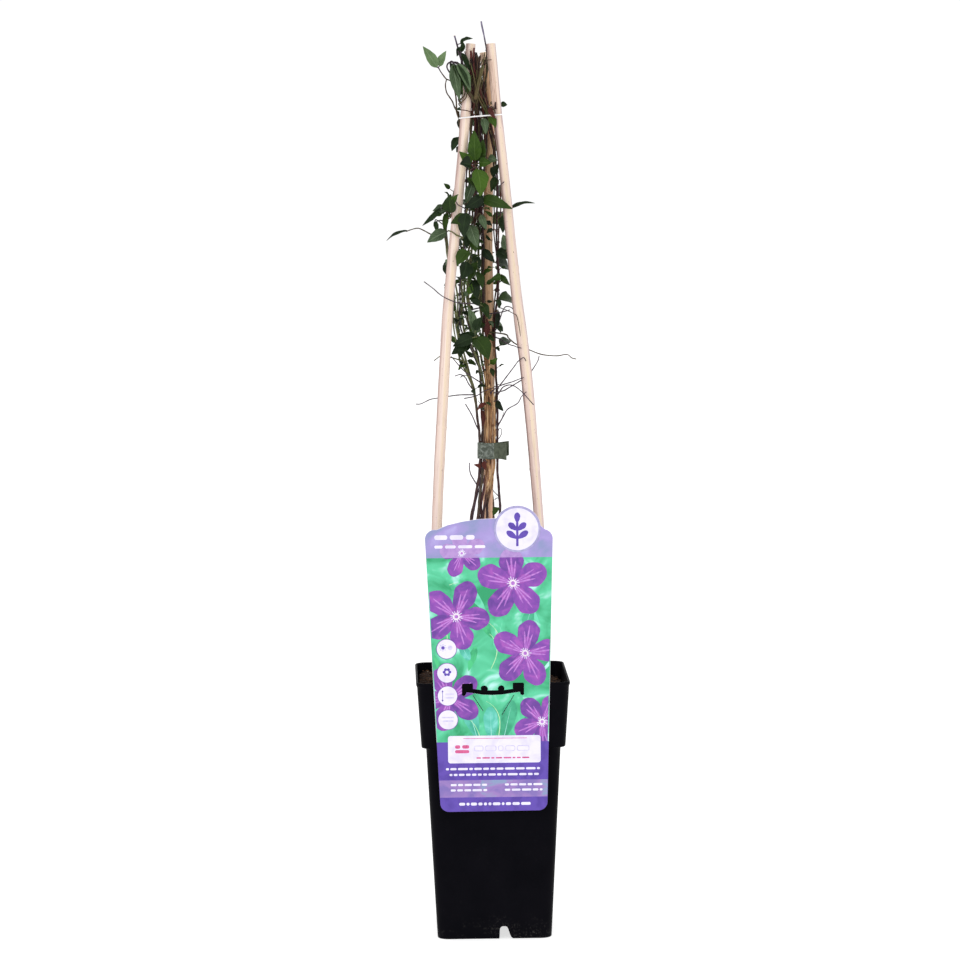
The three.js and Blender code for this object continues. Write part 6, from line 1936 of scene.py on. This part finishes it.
def stubs(s, index, draw):
    """Short stipules and stubs at random heights up the stem."""
    stem = STEMS[index]
    for _ in range(9):
        z = 420 + (stem.top - 430) * draw()
        a = draw() * 6.28
        out = (math.cos(a), math.sin(a), 0.6 + 0.6 * draw())
        long = 1.5 + 2.5 * draw()
        start_at = point_at(ROUTES[index], z)
        tip = add(start_at, unit(out), long + stem_radius(stem, z))
        bend = add(tip, (0, 0, 1), 1.2 * draw())
        if not (clashes(tip, 0.5, index, 0.2) or clashes(bend, 0.5, index, 0.2)):
            s.tube([start_at, tip, bend], lambda t: 0.34 - 0.16 * t, 5, THREAD_AT if draw() < 0.6 else 3)


make_card()
make_print()
make_vines()

# ------------------------------------------------------------------ floor, lights and backdrop
FLOOR_HALF, FLOOR_DROP = 9.0, 0.0004  # metres


def make_floor():
    # a lit sheet, as under a cut-out product shot: it stays white under the pot's notches too
    m = Mat("floor_pale", 0.9, Specular_IOR_Level=0.1, Emission_Color=(1, 1, 1, 1), Emission_Strength=0.7)
    m.done(m.ramp(m.noise(m.space(), 0.004, 3, 0.5), 0.3, "b4b4b4", 0.7, "b8b8b8"), None,
           m.bump(m.noise(m.space(), 0.05, 3, 0.5), 0.02, 0.05))
    mesh = bpy.data.meshes.new("floor")
    corners = [(-1, -1), (1, -1), (1, 1), (-1, 1)]
    mesh.from_pydata([(FLOOR_HALF * x, FLOOR_HALF * y, 0) for x, y in corners], [], [(0, 1, 2, 3)])
    mesh.materials.append(m.m)
    obj = linked("floor", mesh)
    obj.location.z = -FLOOR_DROP


def area_light(name, place, look, size_x, size_y, power):
    data = bpy.data.lights.new(name, "AREA")
    data.shape, data.size, data.size_y, data.energy = "RECTANGLE", size_x, size_y, power
    obj = linked(name, data)
    obj.location = place
    obj.rotation_euler = (Vector(look) - Vector(place)).to_track_quat("-Z", "Y").to_euler()


def make_world():
    world = bpy.data.worlds.new("studio")
    bpy.context.scene.world = world
    world.use_nodes = True
    back = world.node_tree.nodes["Background"]
    back.inputs["Color"].default_value = (1, 1, 1, 1)
    back.inputs["Strength"].default_value = 1.04
    bpy.context.scene.view_settings.view_transform = "Standard"


make_floor()
area_light("key", (-1.6, -2.2, 2.0), (0, 0, 0.4), 1.6, 1.6, 15)
area_light("fill", (2.0, -1.8, 1.2), (0, 0, 0.4), 1.4, 1.8, 7)
area_light("top", (0.2, 0.6, 2.6), (0, 0, 0.4), 1.8, 1.8, 8)
make_world()
